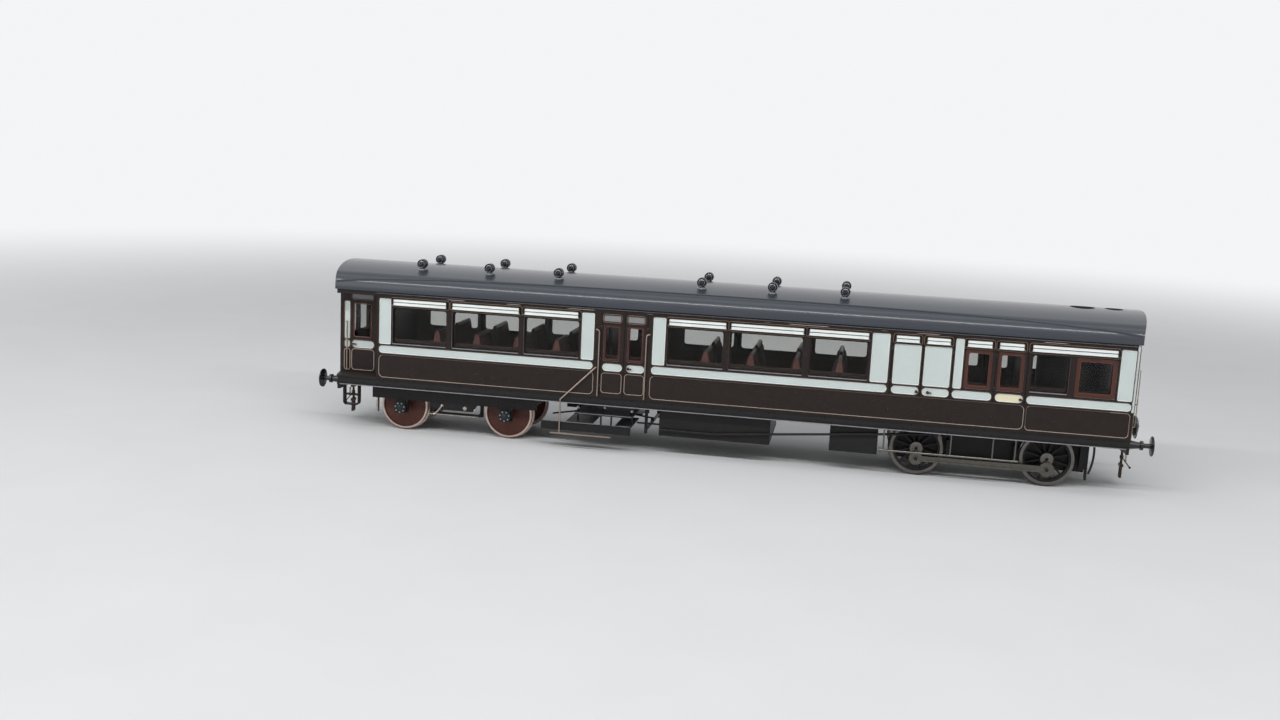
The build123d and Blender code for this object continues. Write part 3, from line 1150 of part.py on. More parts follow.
# Screw couplings: shackle on the hook's eye, screw with its bar, long link below
SHACKLE_Y = 1.3
SHACKLE_HALF = 0.35
LINK_HALF = 0.5
NUT_TOP = 17.4
NUT_LOW = 9.6
NUT_HALF = 0.9
NUT_REACH = 0.7
NUT_UP = 0.3
LINK_LOW = 3.4
LINK_TOP = BUFFER_Z + 0.6
EYE_REACH = 0.3
SCREW_R = 0.6
SCREW_COLLAR_R = 0.95
SCREW_MID = (NUT_TOP + NUT_LOW) / 2
SCREW_OVER = 0.5
COLLAR_LONG = 1.6
BAR_LONG = 6.8
BAR_R = 0.28
BAR_BALL_R = 0.6
BAR_LEAN = 140
for name, way in (("screw_coupling_left", -1), ("screw_coupling_right", 1)):
    x = way * HOOK_EYE
    with BuildPart() as coupling:
        disc_at(x, -SHACKLE_Y - EYE_REACH, SHACKLE_Y + EYE_REACH, BUFFER_Z, HOOK_EYE_R - ROD_CLEAR)
        for side in (-1, 1):
            y0 = side * (SHACKLE_Y - SHACKLE_HALF)
            y1 = side * (SHACKLE_Y + SHACKLE_HALF)
            block(x - LINK_HALF, x + LINK_HALF, y0, y1, NUT_TOP - NUT_HALF, LINK_TOP)
            block(x - LINK_HALF, x + LINK_HALF, y0, y1, LINK_LOW, NUT_LOW + NUT_HALF)
        for z in (NUT_TOP, NUT_LOW):
            block(x - NUT_HALF, x + NUT_HALF, -SHACKLE_Y - NUT_REACH, SHACKLE_Y + NUT_REACH, z - NUT_HALF,
                  z + NUT_UP)
        block(x - LINK_HALF, x + LINK_HALF, -SHACKLE_Y - SHACKLE_HALF, SHACKLE_Y + SHACKLE_HALF,
              LINK_LOW - LINK_HALF, LINK_LOW + LINK_HALF)
        with Locations((x, 0, RAIL + SCREW_MID)):
            Cylinder(SCREW_R, NUT_TOP - NUT_LOW + 2 * SCREW_OVER)
            Cylinder(SCREW_COLLAR_R, COLLAR_LONG)
        with Locations(Location((x, 0, RAIL + SCREW_MID), (0, way * BAR_LEAN, 0))):
            with Locations((0, 0, BAR_LONG / 2)):
                Cylinder(BAR_R, BAR_LONG)
            with Locations((0, 0, BAR_LONG)):
                Sphere(BAR_BALL_R)
    finish(coupling, name)

# Brake gear of the trailing bogie: cross shafts, hangers with blocks, pull rods and brackets
BLOCK_GAP = 0.5
BLOCK_THICK = 1.4
BLOCK_LOW = 9.4
BRAKE_SHAFT_Z = 18.0
BRAKE_SHAFT_R = 0.5
BRAKE_Y = (TREAD_IN + 1.4, TREAD_OUT - 0.1)
PULL_Y = TREAD_OUT + 2.0
PULL_Z = 10.6
PULL_R = 0.6
PULL_LUG = 0.8
PULL_LUG_HALF = 0.8
with BuildPart() as trailing_brake_gear:
    for way, x in ((1, TRAIL_AXLES[0][1]), (-1, TRAIL_AXLES[1][1])):
        near = x + way * (TRAIL_R + FLANGE_DEEP + BLOCK_GAP)
        far = near + way * BLOCK_THICK
        disc_at(far - way * BRAKE_SHAFT_R, -FRAME_Y + FIT, FRAME_Y - FIT, BRAKE_SHAFT_Z, BRAKE_SHAFT_R)
        for side in (-1, 1):
            block(near, far, side * BRAKE_Y[0], side * BRAKE_Y[1], BLOCK_LOW, BRAKE_SHAFT_Z)
            block(far - way * PULL_LUG, far, side * (BRAKE_Y[1] - FIT), side * (PULL_Y + PULL_R),
                  PULL_Z - PULL_LUG_HALF, PULL_Z + PULL_LUG_HALF)
    inner = TRAIL_BASE / 2 - TRAIL_R - FLANGE_DEEP - BLOCK_GAP - BLOCK_THICK
    for side in (-1, 1):
        bar_between(side * PULL_Y, (TRAIL_X - inner, PULL_Z), (TRAIL_X + inner, PULL_Z), PULL_R)
finish(trailing_brake_gear, "trailing_brake_gear")

# Guard irons on the outer headstock of the trailing bogie
IRON_HALF = 0.4
IRON_LOW = 7.6
IRON_X = TRAIL_X - TRAIL_HALF + 0.5
IRON_Y = (TREAD_IN + 0.9, TREAD_OUT - 0.4)
with BuildPart() as trailing_guard_irons:
    for side in (-1, 1):
        block(IRON_X - IRON_HALF, IRON_X + IRON_HALF, side * IRON_Y[0], side * IRON_Y[1], IRON_LOW,
              HEADSTOCK_LOW - FIT)
finish(trailing_guard_irons, "trailing_guard_irons")

# Front plate of the motor bogie with its side flanges and guard irons, and the bogie's brake gear
FRONT_HALF = TREAD_OUT - 0.7
FRONT_THICK = 1.0
FRONT_IRON_WIDE = 2.6
FRONT_IRON_LOW = 4.0
FRONT_FLANGE = 3.0
FRONT_FLANGE_THICK = 0.8
with BuildPart() as motor_guard_irons:
    front = MOTOR_FRONT + FIT
    block(front, front + FRONT_THICK, -FRONT_HALF, FRONT_HALF, STRETCHER_LOW, MOTOR_PLATE_TOP)
    for side in (-1, 1):
        block(front, front + FRONT_THICK, side * (FRONT_HALF - FRONT_IRON_WIDE), side * FRONT_HALF,
              FRONT_IRON_LOW, STRETCHER_LOW + FIT)
        block(front - FRONT_FLANGE, front + FIT, side * (FRONT_HALF - FRONT_FLANGE_THICK), side * FRONT_HALF,
              STRETCHER_LOW, MOTOR_PLATE_TOP)
finish(motor_guard_irons, "motor_guard_irons")

MOTOR_BLOCK_THICK = 1.6
HANGER_PIN_R = 0.5
with BuildPart() as motor_brake_gear:
    for way, axle_x in ((1, DRIVE_AXLES[0][1]), (-1, DRIVE_AXLES[1][1])):
        near = axle_x + way * (DRIVE_R + FLANGE_DEEP + BLOCK_GAP)
        far = near + way * MOTOR_BLOCK_THICK
        for side in (-1, 1):
            block(near, far, side * BRAKE_Y[0], side * BRAKE_Y[1], BLOCK_LOW, BRAKE_SHAFT_Z + HANGER_PIN_R)
            disc_at(far - way * HANGER_PIN_R, side * (MOTOR_FRAME_Y + PLATE + FIT), side * BRAKE_Y[1],
                    BRAKE_SHAFT_Z, HANGER_PIN_R)
finish(motor_brake_gear, "motor_brake_gear")
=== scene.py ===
# %% [markdown]
# # A steam railmotor coach, 7 mm to the foot
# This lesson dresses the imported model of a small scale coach: a panelled body on a trailing bogie with
# wooden disc wheels and a motor bogie with coupled spoked wheels. The solids come from the CAD frame, and
# every piece that is added here rides on one of its bodies.

# %% Load the frame
import math

import bmesh
import bpy
from mathutils import Matrix, Vector


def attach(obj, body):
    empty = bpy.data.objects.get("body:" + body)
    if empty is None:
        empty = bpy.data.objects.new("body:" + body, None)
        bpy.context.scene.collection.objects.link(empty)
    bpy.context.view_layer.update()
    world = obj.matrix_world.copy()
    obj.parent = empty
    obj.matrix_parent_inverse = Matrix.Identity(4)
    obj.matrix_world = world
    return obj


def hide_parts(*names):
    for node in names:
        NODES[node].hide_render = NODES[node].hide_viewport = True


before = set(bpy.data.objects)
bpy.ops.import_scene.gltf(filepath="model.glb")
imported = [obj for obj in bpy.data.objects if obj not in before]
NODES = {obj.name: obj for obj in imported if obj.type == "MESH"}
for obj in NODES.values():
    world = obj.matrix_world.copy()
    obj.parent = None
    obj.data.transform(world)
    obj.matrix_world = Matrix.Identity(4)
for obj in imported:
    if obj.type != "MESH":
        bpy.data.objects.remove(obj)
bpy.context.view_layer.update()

# %% [markdown]
# The coach is measured in millimetres above the rail top, as a model maker would measure it, and Blender
# works in metres. One function changes the first into the second, so every table below stays readable.

# %% Sizes shared by the pieces
MM = 0.001
RAIL = 0.9
SIDES = (-1, 1)
BODY_HALF = 29.6
SUNK = 0.3
CORNER_X = 200.6
BOW_TIP = 204.5
RECESS_X = -178.8
RECESS_Y = 20.1
TRAIL_AXLES = {"outer": -166.7, "inner": -109.3}
TRAIL_R = 12.7
DRIVE_AXLES = {"inner": 101.9, "outer": 164.9}
DRIVE_R = 13.1


def at(x, y, z):
    """A point of the coach, given in millimetres with its height above the rail top."""
    return Vector((x * MM, y * MM, (z + RAIL) * MM))


print("body", 2 * BODY_HALF, "mm wide")

# %% [markdown]
# A finish is a small network of nodes. Linking them one by one makes a list that is hard to read, so one
# class wraps a socket and gives it the usual operators: a sum in Python then adds its Math node.


# %% Shader maths as Python expressions
class Sock:
    """One output of a node, with the operators that Math nodes offer."""

    def __init__(self, tree, socket):
        self.tree = tree
        self.socket = socket

    def __add__(self, other):
        return self.tree.math("ADD", self, other)

    def __radd__(self, other):
        return self.tree.math("ADD", other, self)

    def __sub__(self, other):
        return self.tree.math("SUBTRACT", self, other)

    def __rsub__(self, other):
        return self.tree.math("SUBTRACT", other, self)

    def __mul__(self, other):
        return self.tree.math("MULTIPLY", self, other)

    def __rmul__(self, other):
        return self.tree.math("MULTIPLY", other, self)

    def __abs__(self):
        return self.tree.math("ABSOLUTE", self)

    def __gt__(self, other):
        return self.tree.math("GREATER_THAN", self, other)

    def __lt__(self, other):
        return self.tree.math("LESS_THAN", self, other)


# %% [markdown]
# Every other node comes from one method, in a finish, a geometry tree or the world: it takes the node's
# type, its settings, and the values or links of its inputs. Settings come first, because some change the
# inputs.

# %% One method for any node
class Tree:
    """A node tree of any kind."""

    def __init__(self, tree):
        self.tree = tree

    def put(self, target, value):
        if isinstance(value, Sock):
            self.tree.links.new(value.socket, target)
        else:
            target.default_value = value

    def node(self, kind, settings=None, values=None, out=0):
        """One output of a new node."""
        made = self.tree.nodes.new(kind)
        for key, value in (settings or {}).items():
            setattr(made, key, value)
        for key, value in (values or {}).items():
            self.put(made.inputs[key], value)
        return Sock(self, made.outputs[out])

    def math(self, operation, *values):
        return self.node("ShaderNodeMath", {"operation": operation}, dict(enumerate(values)))


class Finish(Tree):
    """A procedural material with one Principled shader."""

    def __init__(self, name, rough=0.4, metal=0.0, coat=0.0, mirror=0.5):
        self.material = bpy.data.materials.new(name)
        self.material.use_nodes = True
        super().__init__(self.material.node_tree)
        self.tree.nodes.clear()
        self.output = self.tree.nodes.new("ShaderNodeOutputMaterial")
        self.shader = self.node("ShaderNodeBsdfPrincipled", None, {
            "Roughness": rough, "Metallic": metal, "Coat Weight": coat, "Specular IOR Level": mirror})
        self.place = self.node("ShaderNodeTexCoord", out="Object")
        self.show(self.shader)

    def show(self, shader):
        self.put(self.output.inputs[0], shader)

    def set(self, label, value):
        self.put(self.shader.socket.node.inputs[label], value)

    def axis(self, letter):
        """One Object coordinate in millimetres, with heights above the rail top."""
        value = self.node("ShaderNodeSeparateXYZ", None, {0: self.place}, letter) * 1000
        return value - RAIL if letter == "Z" else value

    def noise(self, per_mm, detail=4.0, stretch=(1, 1, 1)):
        """A noise from 0 to 1 whose blobs are about 1 / per_mm millimetres across."""
        scaled = self.node("ShaderNodeMapping", None, {"Vector": self.place, "Scale": stretch})
        values = {"Vector": scaled, "Scale": per_mm * 1000.0, "Detail": detail}
        return self.node("ShaderNodeTexNoise", None, values)

    def blend(self, factor, first, second):
        """A colour between two colours."""
        return self.node("ShaderNodeMix", {"data_type": "RGBA"}, {0: factor, 6: first, 7: second}, 2)

    def bump(self, height, depth_mm, strength):
        values = {"Height": height, "Distance": depth_mm * MM, "Strength": strength}
        self.set("Normal", self.node("ShaderNodeBump", None, values))


def rgb(*screen):
    """A colour as a screen shows it, 0 to 255, changed to the linear values that Blender wants."""
    linear = [((part / 255 + 0.055) / 1.055) ** 2.4 if part > 10 else part / 3295 for part in screen]
    return (*linear, 1.0)


print("mid grey", round(rgb(128, 128, 128)[0], 3))

# %% [markdown]
# ## Paint on the body
# The real coach is enamelled in two colours and hand lined: the raised mouldings a dark plum brown, and the
# sunk panels above the waist a cold white. Painting each face by hand would take an image, and faces picked
# by number would be lost when the CAD changes. The two colours differ by three tenths of a millimetre in
# depth, so the finish reads the depth of the surface, and they meet exactly at the moulding's edge.

# %% Panel paint
PLUM = rgb(34, 27, 26)
PLUM_LIGHT = rgb(44, 35, 33)
WHITE = rgb(200, 210, 208)
WHITE_EDGE = rgb(238, 240, 236)
WALL_DEPTH = 1.2
WAIST = (41.6, 46.4)
TOPLIGHT_LOW = 66.9
CENTRE_DOORS = (-58.5, -35.0)
VESTIBULE_DOOR = (-197.0, -184.0)
DRIVER_DOOR = (136.0, 149.6)
BOW_R = (BODY_HALF ** 2 + (BOW_TIP - CORNER_X) ** 2) / (2 * (BOW_TIP - CORNER_X))


def between(value, low, high):
    """1 where a value lies between two numbers."""
    return (value > low) * (value < high)


def enamel_surface(finish, rough=0.24):
    """Satin enamel: a little cloudy in its gloss, with the faint ripple of brushed paint."""
    cloudy = finish.noise(0.12, 3.0)
    fine = finish.noise(1.6, 2.0, (0.25, 1, 1))
    finish.set("Roughness", cloudy * 0.08 + (rough - 0.04) + fine * 0.04)
    finish.bump(fine * 0.6 + cloudy, 0.02, 0.35)
    return finish.material


def flat_depth(finish, face):
    """How far a point lies behind a flat side."""
    return face - abs(finish.axis("Y"))


def bow_depth(finish, tip):
    """How far a point lies inside the bowed end, along the coach."""
    y = finish.axis("Y")
    return finish.math("SQRT", BOW_R ** 2 - y * y) + (tip - BOW_R) - abs(finish.axis("X"))


def panel_paint(name, depth, face, grey_door):
    """Two colour enamel, with grey toplights over a door and a cream plate on the driver's door."""
    finish = Finish(name, mirror=0.18)
    x, z = finish.axis("X"), finish.axis("Z")
    behind = depth(finish, face)
    plum = finish.blend(finish.noise(0.3), PLUM, PLUM_LIGHT)
    white = finish.blend(finish.noise(0.08, 3.0), WHITE, rgb(188, 198, 197))
    white = finish.blend(between(x, *grey_door) * (z > TOPLIGHT_LOW), white, rgb(132, 134, 136))
    white = finish.blend(between(x, *DRIVER_DOOR) * between(z, *WAIST), white, rgb(222, 214, 186))
    sunk = between(behind, SUNK / 2, WALL_DEPTH) * (z > WAIST[0])
    inside = finish.blend(finish.noise(0.5, 5.0, (1, 1, 0.15)), rgb(74, 52, 40), rgb(48, 34, 28))
    finish.set("Base Color", finish.blend(behind > WALL_DEPTH, finish.blend(sunk, plum, white), inside))
    return enamel_surface(finish)


SIDE_PAINT = panel_paint("side_enamel", flat_depth, BODY_HALF, CENTRE_DOORS)
VESTIBULE_PAINT = panel_paint("vestibule_enamel", flat_depth, RECESS_Y, VESTIBULE_DOOR)
MOTOR_END_PAINT = panel_paint("motor_end_enamel", bow_depth, BOW_TIP, CENTRE_DOORS)
print("bow radius", round(BOW_R, 1), "mm")

# %% [markdown]
# Plain enamels and metals need no image and no map of their own: two near colours, mixed by a noise, are
# enough. Each has a little variation in colour and gloss, because a surface of one flat value looks like
# plastic.


# %% Enamels and metals
def enamel(name, colour, second, rough=0.3, mirror=0.2):
    finish = Finish(name, mirror=mirror)
    finish.set("Base Color", finish.blend(finish.noise(0.2), colour, second))
    return enamel_surface(finish, rough)


def metal(name, colour, second, rough=0.3, per_mm=0.6, metallic=1.0):
    finish = Finish(name, metal=metallic)
    grain = finish.noise(per_mm)
    finish.set("Base Color", finish.blend(grain, colour, second))
    finish.set("Roughness", grain * 0.16 + (rough - 0.08))
    finish.bump(finish.noise(3.0, 2.0), 0.02, 0.3)
    return finish.material


SOOT = rgb(24, 23, 24)
SOOT_LIGHT = rgb(38, 36, 37)
BLACK = enamel("underframe_black", SOOT, SOOT_LIGHT, 0.36)
PLUM_PLAIN = enamel("plum_enamel", PLUM, PLUM_LIGHT, 0.24)
WHITE_LINE = enamel("white_lining", WHITE_EDGE, rgb(222, 226, 222))
FINE_LINING = enamel("fine_lining", rgb(150, 126, 104), rgb(118, 98, 80), 0.35)
UPPER_LINING = enamel("worn_lining", rgb(84, 68, 58), rgb(66, 54, 47), 0.35)
BLACK_GLOSS = enamel("gloss_black", rgb(20, 19, 21), rgb(30, 29, 31), 0.16, 0.5)
GAP = enamel("door_gap", rgb(10, 9, 9), rgb(16, 14, 14), 0.5, 0.05)
# Pale grey: the paint of the toplight lines, and a painted highlight on the window sills, step edges and
# ventilator collars
PALE_GREY_AND_HIGHLIGHT = enamel("sill_grey", rgb(150, 152, 156), rgb(122, 124, 130), 0.25)
# Painted highlight: white for the ventilator noses and the step knobs
HIGHLIGHT_WHITE = enamel("bright_enamel", rgb(226, 230, 232), rgb(206, 210, 214), 0.2, 0.5)
VENT_GREY = enamel("vent_dish_grey", rgb(92, 96, 108), rgb(70, 74, 86), 0.22, 0.5)
# Painted highlight: the pale grey-blue of the bolts copies the highlights on them
BOLT_HIGHLIGHT_METAL = metal("blued_bolts", rgb(150, 168, 172), rgb(110, 128, 134), 0.32, 1.5, 0.7)
STEEL = metal("bright_steel", rgb(196, 188, 180), rgb(150, 142, 134), 0.28)
GREY_STEEL = metal("wheel_steel", rgb(122, 118, 113), rgb(92, 88, 84), 0.34)
ROD_STEEL = metal("rod_steel", rgb(110, 108, 101), rgb(82, 80, 75), 0.32)
RAIL_METAL = metal("handrail_steel", rgb(176, 160, 146), rgb(140, 124, 112))
DARK_STEEL = metal("coupling_steel", rgb(70, 52, 42), rgb(44, 34, 30), 0.42, 0.8, 0.6)
print("finishes so far", len(bpy.data.materials))

# %% [markdown]
# Some paints change from place to place: the cream lines are rubbed nearly away in two places, the white
# ventilator hoods have painted shade in the step between their two lips and on their underside, and the
# girders have a painted highlight along the edge of their bottom flange. Each needs only a mask from heights
# and lengths, which is sharper than a painted image.

# %% Paints that change with their place
PANEL_TOPS = (40.75, 41.7)
RUBBED_DOOR = (151.2, 151.95)
BONNET_SHADE_BAND = (69.12, 69.6)
BONNET_FACE = (67.75, 70.75)
FLANGE = (23.3, 23.95)
FLANGE_Y = 28.8
FLANGE_END = 199
LONG_PANELS = (-176, 190)
DOORWAY = (-61, -35)
RUBBED_LOW = 31


def lining_paint():
    """Cream lines, faint along the top of the long panels and beside the driver's door."""
    finish = Finish("cream_lining", mirror=0.2)
    x, z = finish.axis("X"), finish.axis("Z")
    faint = between(z, *PANEL_TOPS) * (1 - between(x, *DOORWAY)) * between(x, *LONG_PANELS)
    beside = between(x, *RUBBED_DOOR) * (z > RUBBED_LOW)
    cream = finish.blend(finish.noise(0.4), rgb(184, 168, 154), rgb(160, 145, 131))
    finish.set("Base Color", finish.blend((faint + beside) * 0.72, cream, PLUM_LIGHT))
    return enamel_surface(finish, 0.35)


def bonnet_paint():
    """White hoods, with painted shade in the slot between their lips and under them, and a plum top edge."""
    finish = Finish("bonnet_enamel", mirror=0.3)
    z = finish.axis("Z")
    white = finish.blend(finish.noise(0.1), WHITE_EDGE, WHITE)
    # Painted shade: the downward step between the two lips is painted dark grey
    slot_shade = finish.blend(between(z, *BONNET_SHADE_BAND) * 0.85, white, rgb(70, 68, 72))
    # Painted shade under the hood: the band below the face is painted plum, as is the frame above it
    edge = (z < BONNET_FACE[0]) + (z > BONNET_FACE[1])
    finish.set("Base Color", finish.blend(edge, slot_shade, PLUM_LIGHT))
    return enamel_surface(finish, 0.28)


def girder_paint():
    """Black girders with a painted highlight, pale grey, along the outer edge of the bottom flange."""
    finish = Finish("girder_black", mirror=0.25)
    grain = finish.noise(0.2)
    outside = (abs(finish.axis("Y")) > FLANGE_Y) * (abs(finish.axis("X")) < FLANGE_END)
    # Painted highlight: the outer edge of the bottom flange is painted pale grey, as if lit from above
    flange_highlight = between(finish.axis("Z"), *FLANGE) * outside
    black = finish.blend(grain, SOOT, SOOT_LIGHT)
    finish.set("Base Color", finish.blend(flange_highlight * (grain * 0.5 + 0.5), black, rgb(150, 150, 156)))
    return enamel_surface(finish, 0.34)


LINING = lining_paint()
BONNET = bonnet_paint()
GIRDER = girder_paint()
print("rubbed flange", FLANGE)

# %% [markdown]
# The woodwork is varnished mahogany. Wood reads as wood when its grain is long and thin, so the same noise
# is stretched along the board instead of using a photograph of timber. The droplight frames are red brown
# at the motor end, and stained nearly to the plum on the centre doors.

# %% Woods
UPRIGHT_GRAIN = (0.3, 1, 0.12)


def varnish(finish, grain, rough):
    finish.set("Roughness", grain * 0.1 + rough)
    finish.bump(grain, 0.02, 0.4)
    return finish.material


def wood(name, colour, second, stretch, rough=0.35, per_mm=0.9):
    finish = Finish(name, coat=0.08, mirror=0.25)
    grain = finish.noise(per_mm, 6.0, stretch)
    finish.set("Base Color", finish.blend(grain * 0.7 + finish.noise(0.1, 2.0) * 0.3, colour, second))
    return varnish(finish, grain, rough)


def droplight_wood():
    finish = Finish("droplight_mahogany", coat=0.08, mirror=0.25)
    grain = finish.noise(0.9, 6.0, UPRIGHT_GRAIN)
    varnished = finish.blend(grain, rgb(84, 48, 38), rgb(56, 32, 26))
    stained = finish.blend(grain, rgb(74, 42, 38), rgb(50, 30, 28))
    finish.set("Base Color", finish.blend(between(finish.axis("X"), -60, -30), varnished, stained))
    return varnish(finish, grain, 0.32)


DROPLIGHT = droplight_wood()
DARK_WOOD = wood("seat_mahogany", rgb(66, 44, 38), rgb(44, 30, 27), (1, 0.15, 1), 0.4, 0.7)
# Painted light: the end boards by the windows are a lighter, pinkish copy of the seat wood, as the window
# lights them
SEAT_END_LIT = wood("seat_end_boards", rgb(118, 77, 72), rgb(90, 58, 54), (1, 0.15, 1), 0.4, 0.7)
PARTITION = wood("partition_wood", rgb(70, 48, 38), rgb(46, 32, 27), (1, 1, 0.12), 0.45)
FLOORING = wood("floor_boards", rgb(40, 33, 30), rgb(27, 23, 22), (0.1, 1, 1), 0.6)
INNER_WOOD = wood("inner_frame_wood", rgb(56, 40, 35), rgb(40, 29, 26), (0.2, 1, 0.2), 0.45)
WORN_WOOD = wood("worn_mahogany", rgb(118, 68, 58), rgb(90, 52, 45), UPRIGHT_GRAIN)
print("finishes so far", len(bpy.data.materials))

# %% [markdown]
# The roof is painted dark grey. A model maker sands and sprays it along the length, so the grey is faintly
# streaked that way. A clear coat over a duller base gives its wide soft highlight, which one roughness
# alone can't give. Glass needs no thickness here: a pane is mostly see-through, with a small share of
# mirror that grows towards the edge of view, as Fresnel's law says.

# %% Roof and glass
roof = Finish("roof_grey", coat=0.5, mirror=0.2)
roof.set("Coat Roughness", 0.15)
streak = roof.noise(0.5, 5.0, (0.02, 1, 1))
cloud = roof.noise(0.05, 3.0)
roof.set("Base Color", roof.blend(streak * 0.6 + cloud * 0.4, rgb(42, 46, 53), rgb(58, 63, 71)))
roof.set("Roughness", streak * 0.07 + cloud * 0.05 + 0.3)
roof.bump(streak + roof.noise(2.0, 2.0) * 0.4, 0.012, 0.3)

glass = Finish("window_glass", rough=0.03)
glass.set("Base Color", glass.blend(glass.noise(0.05), rgb(226, 230, 228), rgb(240, 243, 242)))
clear = glass.node("ShaderNodeBsdfTransparent", None, {0: (0.88, 0.885, 0.875, 1)})
mirror = glass.node("ShaderNodeBsdfGlossy", None, {"Roughness": 0.02})
share = glass.node("ShaderNodeFresnel", None, {"IOR": 1.5}) * 0.2 + glass.noise(0.08, 3.0) * 0.006
glass.show(glass.node("ShaderNodeMixShader", None, {0: share, 1: clear, 2: mirror}))
print("roof coat", roof.shader.socket.node.inputs["Coat Weight"].default_value)

# %% [markdown]
# A trailing wheel has sixteen wooden segments in a steel tyre. Modelling sixteen boards would add only
# hairline joints, so the finish draws them: the angle round the axle, counted in sixteenths, is dark near
# each whole number. The tyre is bright where it is turned, and brown with old paint nearer the boards.

# %% Wheel boards and tyres
BOARDS = 16
TYRE_BRIGHT = 0.95


def board_wheel(which, axle_x):
    finish = Finish("wheel_boards_" + which, mirror=0.2)
    turn = finish.math("ARCTAN2", finish.axis("Z") - TRAIL_R, finish.axis("X") - axle_x)
    sector = finish.math("FRACT", turn * (BOARDS / (2 * math.pi)) + BOARDS / 2)
    joint = abs(sector - 0.5) > 0.485
    grain = finish.noise(0.7, 5.0)
    board = finish.blend(grain, rgb(88, 52, 44), rgb(64, 38, 32))
    finish.set("Base Color", finish.blend(joint * 0.7, board, rgb(38, 24, 21)))
    finish.set("Roughness", grain * 0.15 + 0.3)
    finish.bump(grain * 0.3 - joint, 0.05, 0.5)
    return finish.material


def banded_tyre(which, axle_x):
    finish = Finish(f"trailing_axle_{which}_steel", metal=0.85)
    along, up = finish.axis("X") - axle_x, finish.axis("Z") - TRAIL_R
    bright = finish.math("SQRT", along * along + up * up) > TRAIL_R - TYRE_BRIGHT
    grain = finish.noise(0.9)
    steel = finish.blend(grain, rgb(206, 188, 178), rgb(166, 148, 138))
    brown = finish.blend(grain, rgb(92, 58, 48), rgb(62, 40, 34))
    finish.set("Base Color", finish.blend(bright, brown, steel))
    finish.set("Roughness", grain * 0.12 + 0.3 + (1 - bright) * 0.2)
    finish.bump(grain, 0.02, 0.3)
    return finish.material


print("boards of a wheel", BOARDS)

# %% [markdown]
# The nodes whose shape is right stay as they are and only change their finish. Making them again would risk
# their shapes for nothing. One table says which finish goes where.

# %% Finishes of the CAD nodes
DRESSING = [
    (SIDE_PAINT, "body_side_near body_side_far"), (VESTIBULE_PAINT, "vestibule_walls"),
    (MOTOR_END_PAINT, "body_end_motor"), (PLUM_PLAIN, "body_end_trailing recess_hoods"),
    (roof.material, "roof rain_strips"), (glass.material, "glazing"), (BONNET, "window_bonnets"),
    (BLACK_GLOSS, "roof_ventilators buffers gong"), (DROPLIGHT, "droplight_frames"),
    (PARTITION, "partitions"), (FLOORING, "floor"), (DARK_WOOD, "seats"), (GIRDER, "underframe"),
    (DARK_STEEL, "drawhooks screw_coupling_left screw_coupling_right door_handles"),
    (RAIL_METAL, "grab_rails step_linkage"), (STEEL, "trailing_guard_irons"),
    (GREY_STEEL, "feed_pipes driving_tyres_inner driving_tyres_outer"),
    (ROD_STEEL, "coupling_rod_near coupling_rod_far"),
    (BLACK, "boiler water_tank_long water_tank_short truss_rods brake_rigging end_hoses end_steps "
            "folding_steps trailing_bogie_frame trailing_axleboxes trailing_brake_gear motor_bogie_frame "
            "motor_guard_irons motor_brake_gear driving_centres_inner driving_centres_outer"),
]
for which, axle_x in TRAIL_AXLES.items():
    DRESSING.append((banded_tyre(which, axle_x), "trailing_axle_" + which))
    DRESSING.append((board_wheel(which, axle_x), "trailing_wheel_centres_" + which))
finish_of = {name: finish for finish, names in DRESSING for name in names.split()}
for name, node in NODES.items():
    for material_slot in node.material_slots:
        material_slot.link = "OBJECT"
        material_slot.material = finish_of[name]
print("nodes dressed", len(finish_of))

# %% [markdown]
# ## Making pieces
# An added piece is a plain mesh made at its place, on an object at the origin, because the export puts
# every object there. Each is told which body carries it. Small parts of one finish on one body are one
# piece.


# %% Pieces from meshes
def stand(name, data):
    """A new object in the scene, at the origin."""
    made = bpy.data.objects.new(name, data)
    bpy.context.scene.collection.objects.link(made)
    return made


def add_piece(name, mesh, body):
    piece = stand(name, mesh)
    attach(piece, body)
    return piece


def add_shape(name, shape, paint, body="coach", angle=40):
    """A piece from a bmesh, smooth where faces meet at less than the angle."""
    bmesh.ops.recalc_face_normals(shape, faces=shape.faces)
    mesh = bpy.data.meshes.new(name)
    shape.to_mesh(mesh)
    shape.free()
    mesh.materials.append(paint)
    if angle:
        mesh.polygons.foreach_set("use_smooth", [True] * len(mesh.polygons))
        mesh.set_sharp_from_angle(angle=math.radians(angle))
    return add_piece(name, mesh, body)


def merge_into(shape, part):
    """Adds a finished bmesh to another and frees it."""
    mesh = bpy.data.meshes.new("part")
    part.to_mesh(mesh)
    part.free()
    shape.from_mesh(mesh)
    bpy.data.meshes.remove(mesh)


def settled(holder):
    """The plain mesh of an object with its modifiers applied. The object is removed."""
    depsgraph = bpy.context.evaluated_depsgraph_get()
    mesh = bpy.data.meshes.new_from_object(holder.evaluated_get(depsgraph), depsgraph=depsgraph)
    holder.modifiers.clear()
    bpy.data.objects.remove(holder)
    return mesh


print("piece helpers ready")

# %% [markdown]
# ## Lining
# The lines are painted by hand with a fine pen, and stand a little proud of the enamel. They could be part
# of the paint, but a mask for each outline would be long, and a line only 0.2 mm wide would blur when it is
# baked. Geometry Nodes turn each outline into a curve and sweep a small rectangle along it. One tree serves
# every line: its inputs are the width, the height and the direction that it faces.

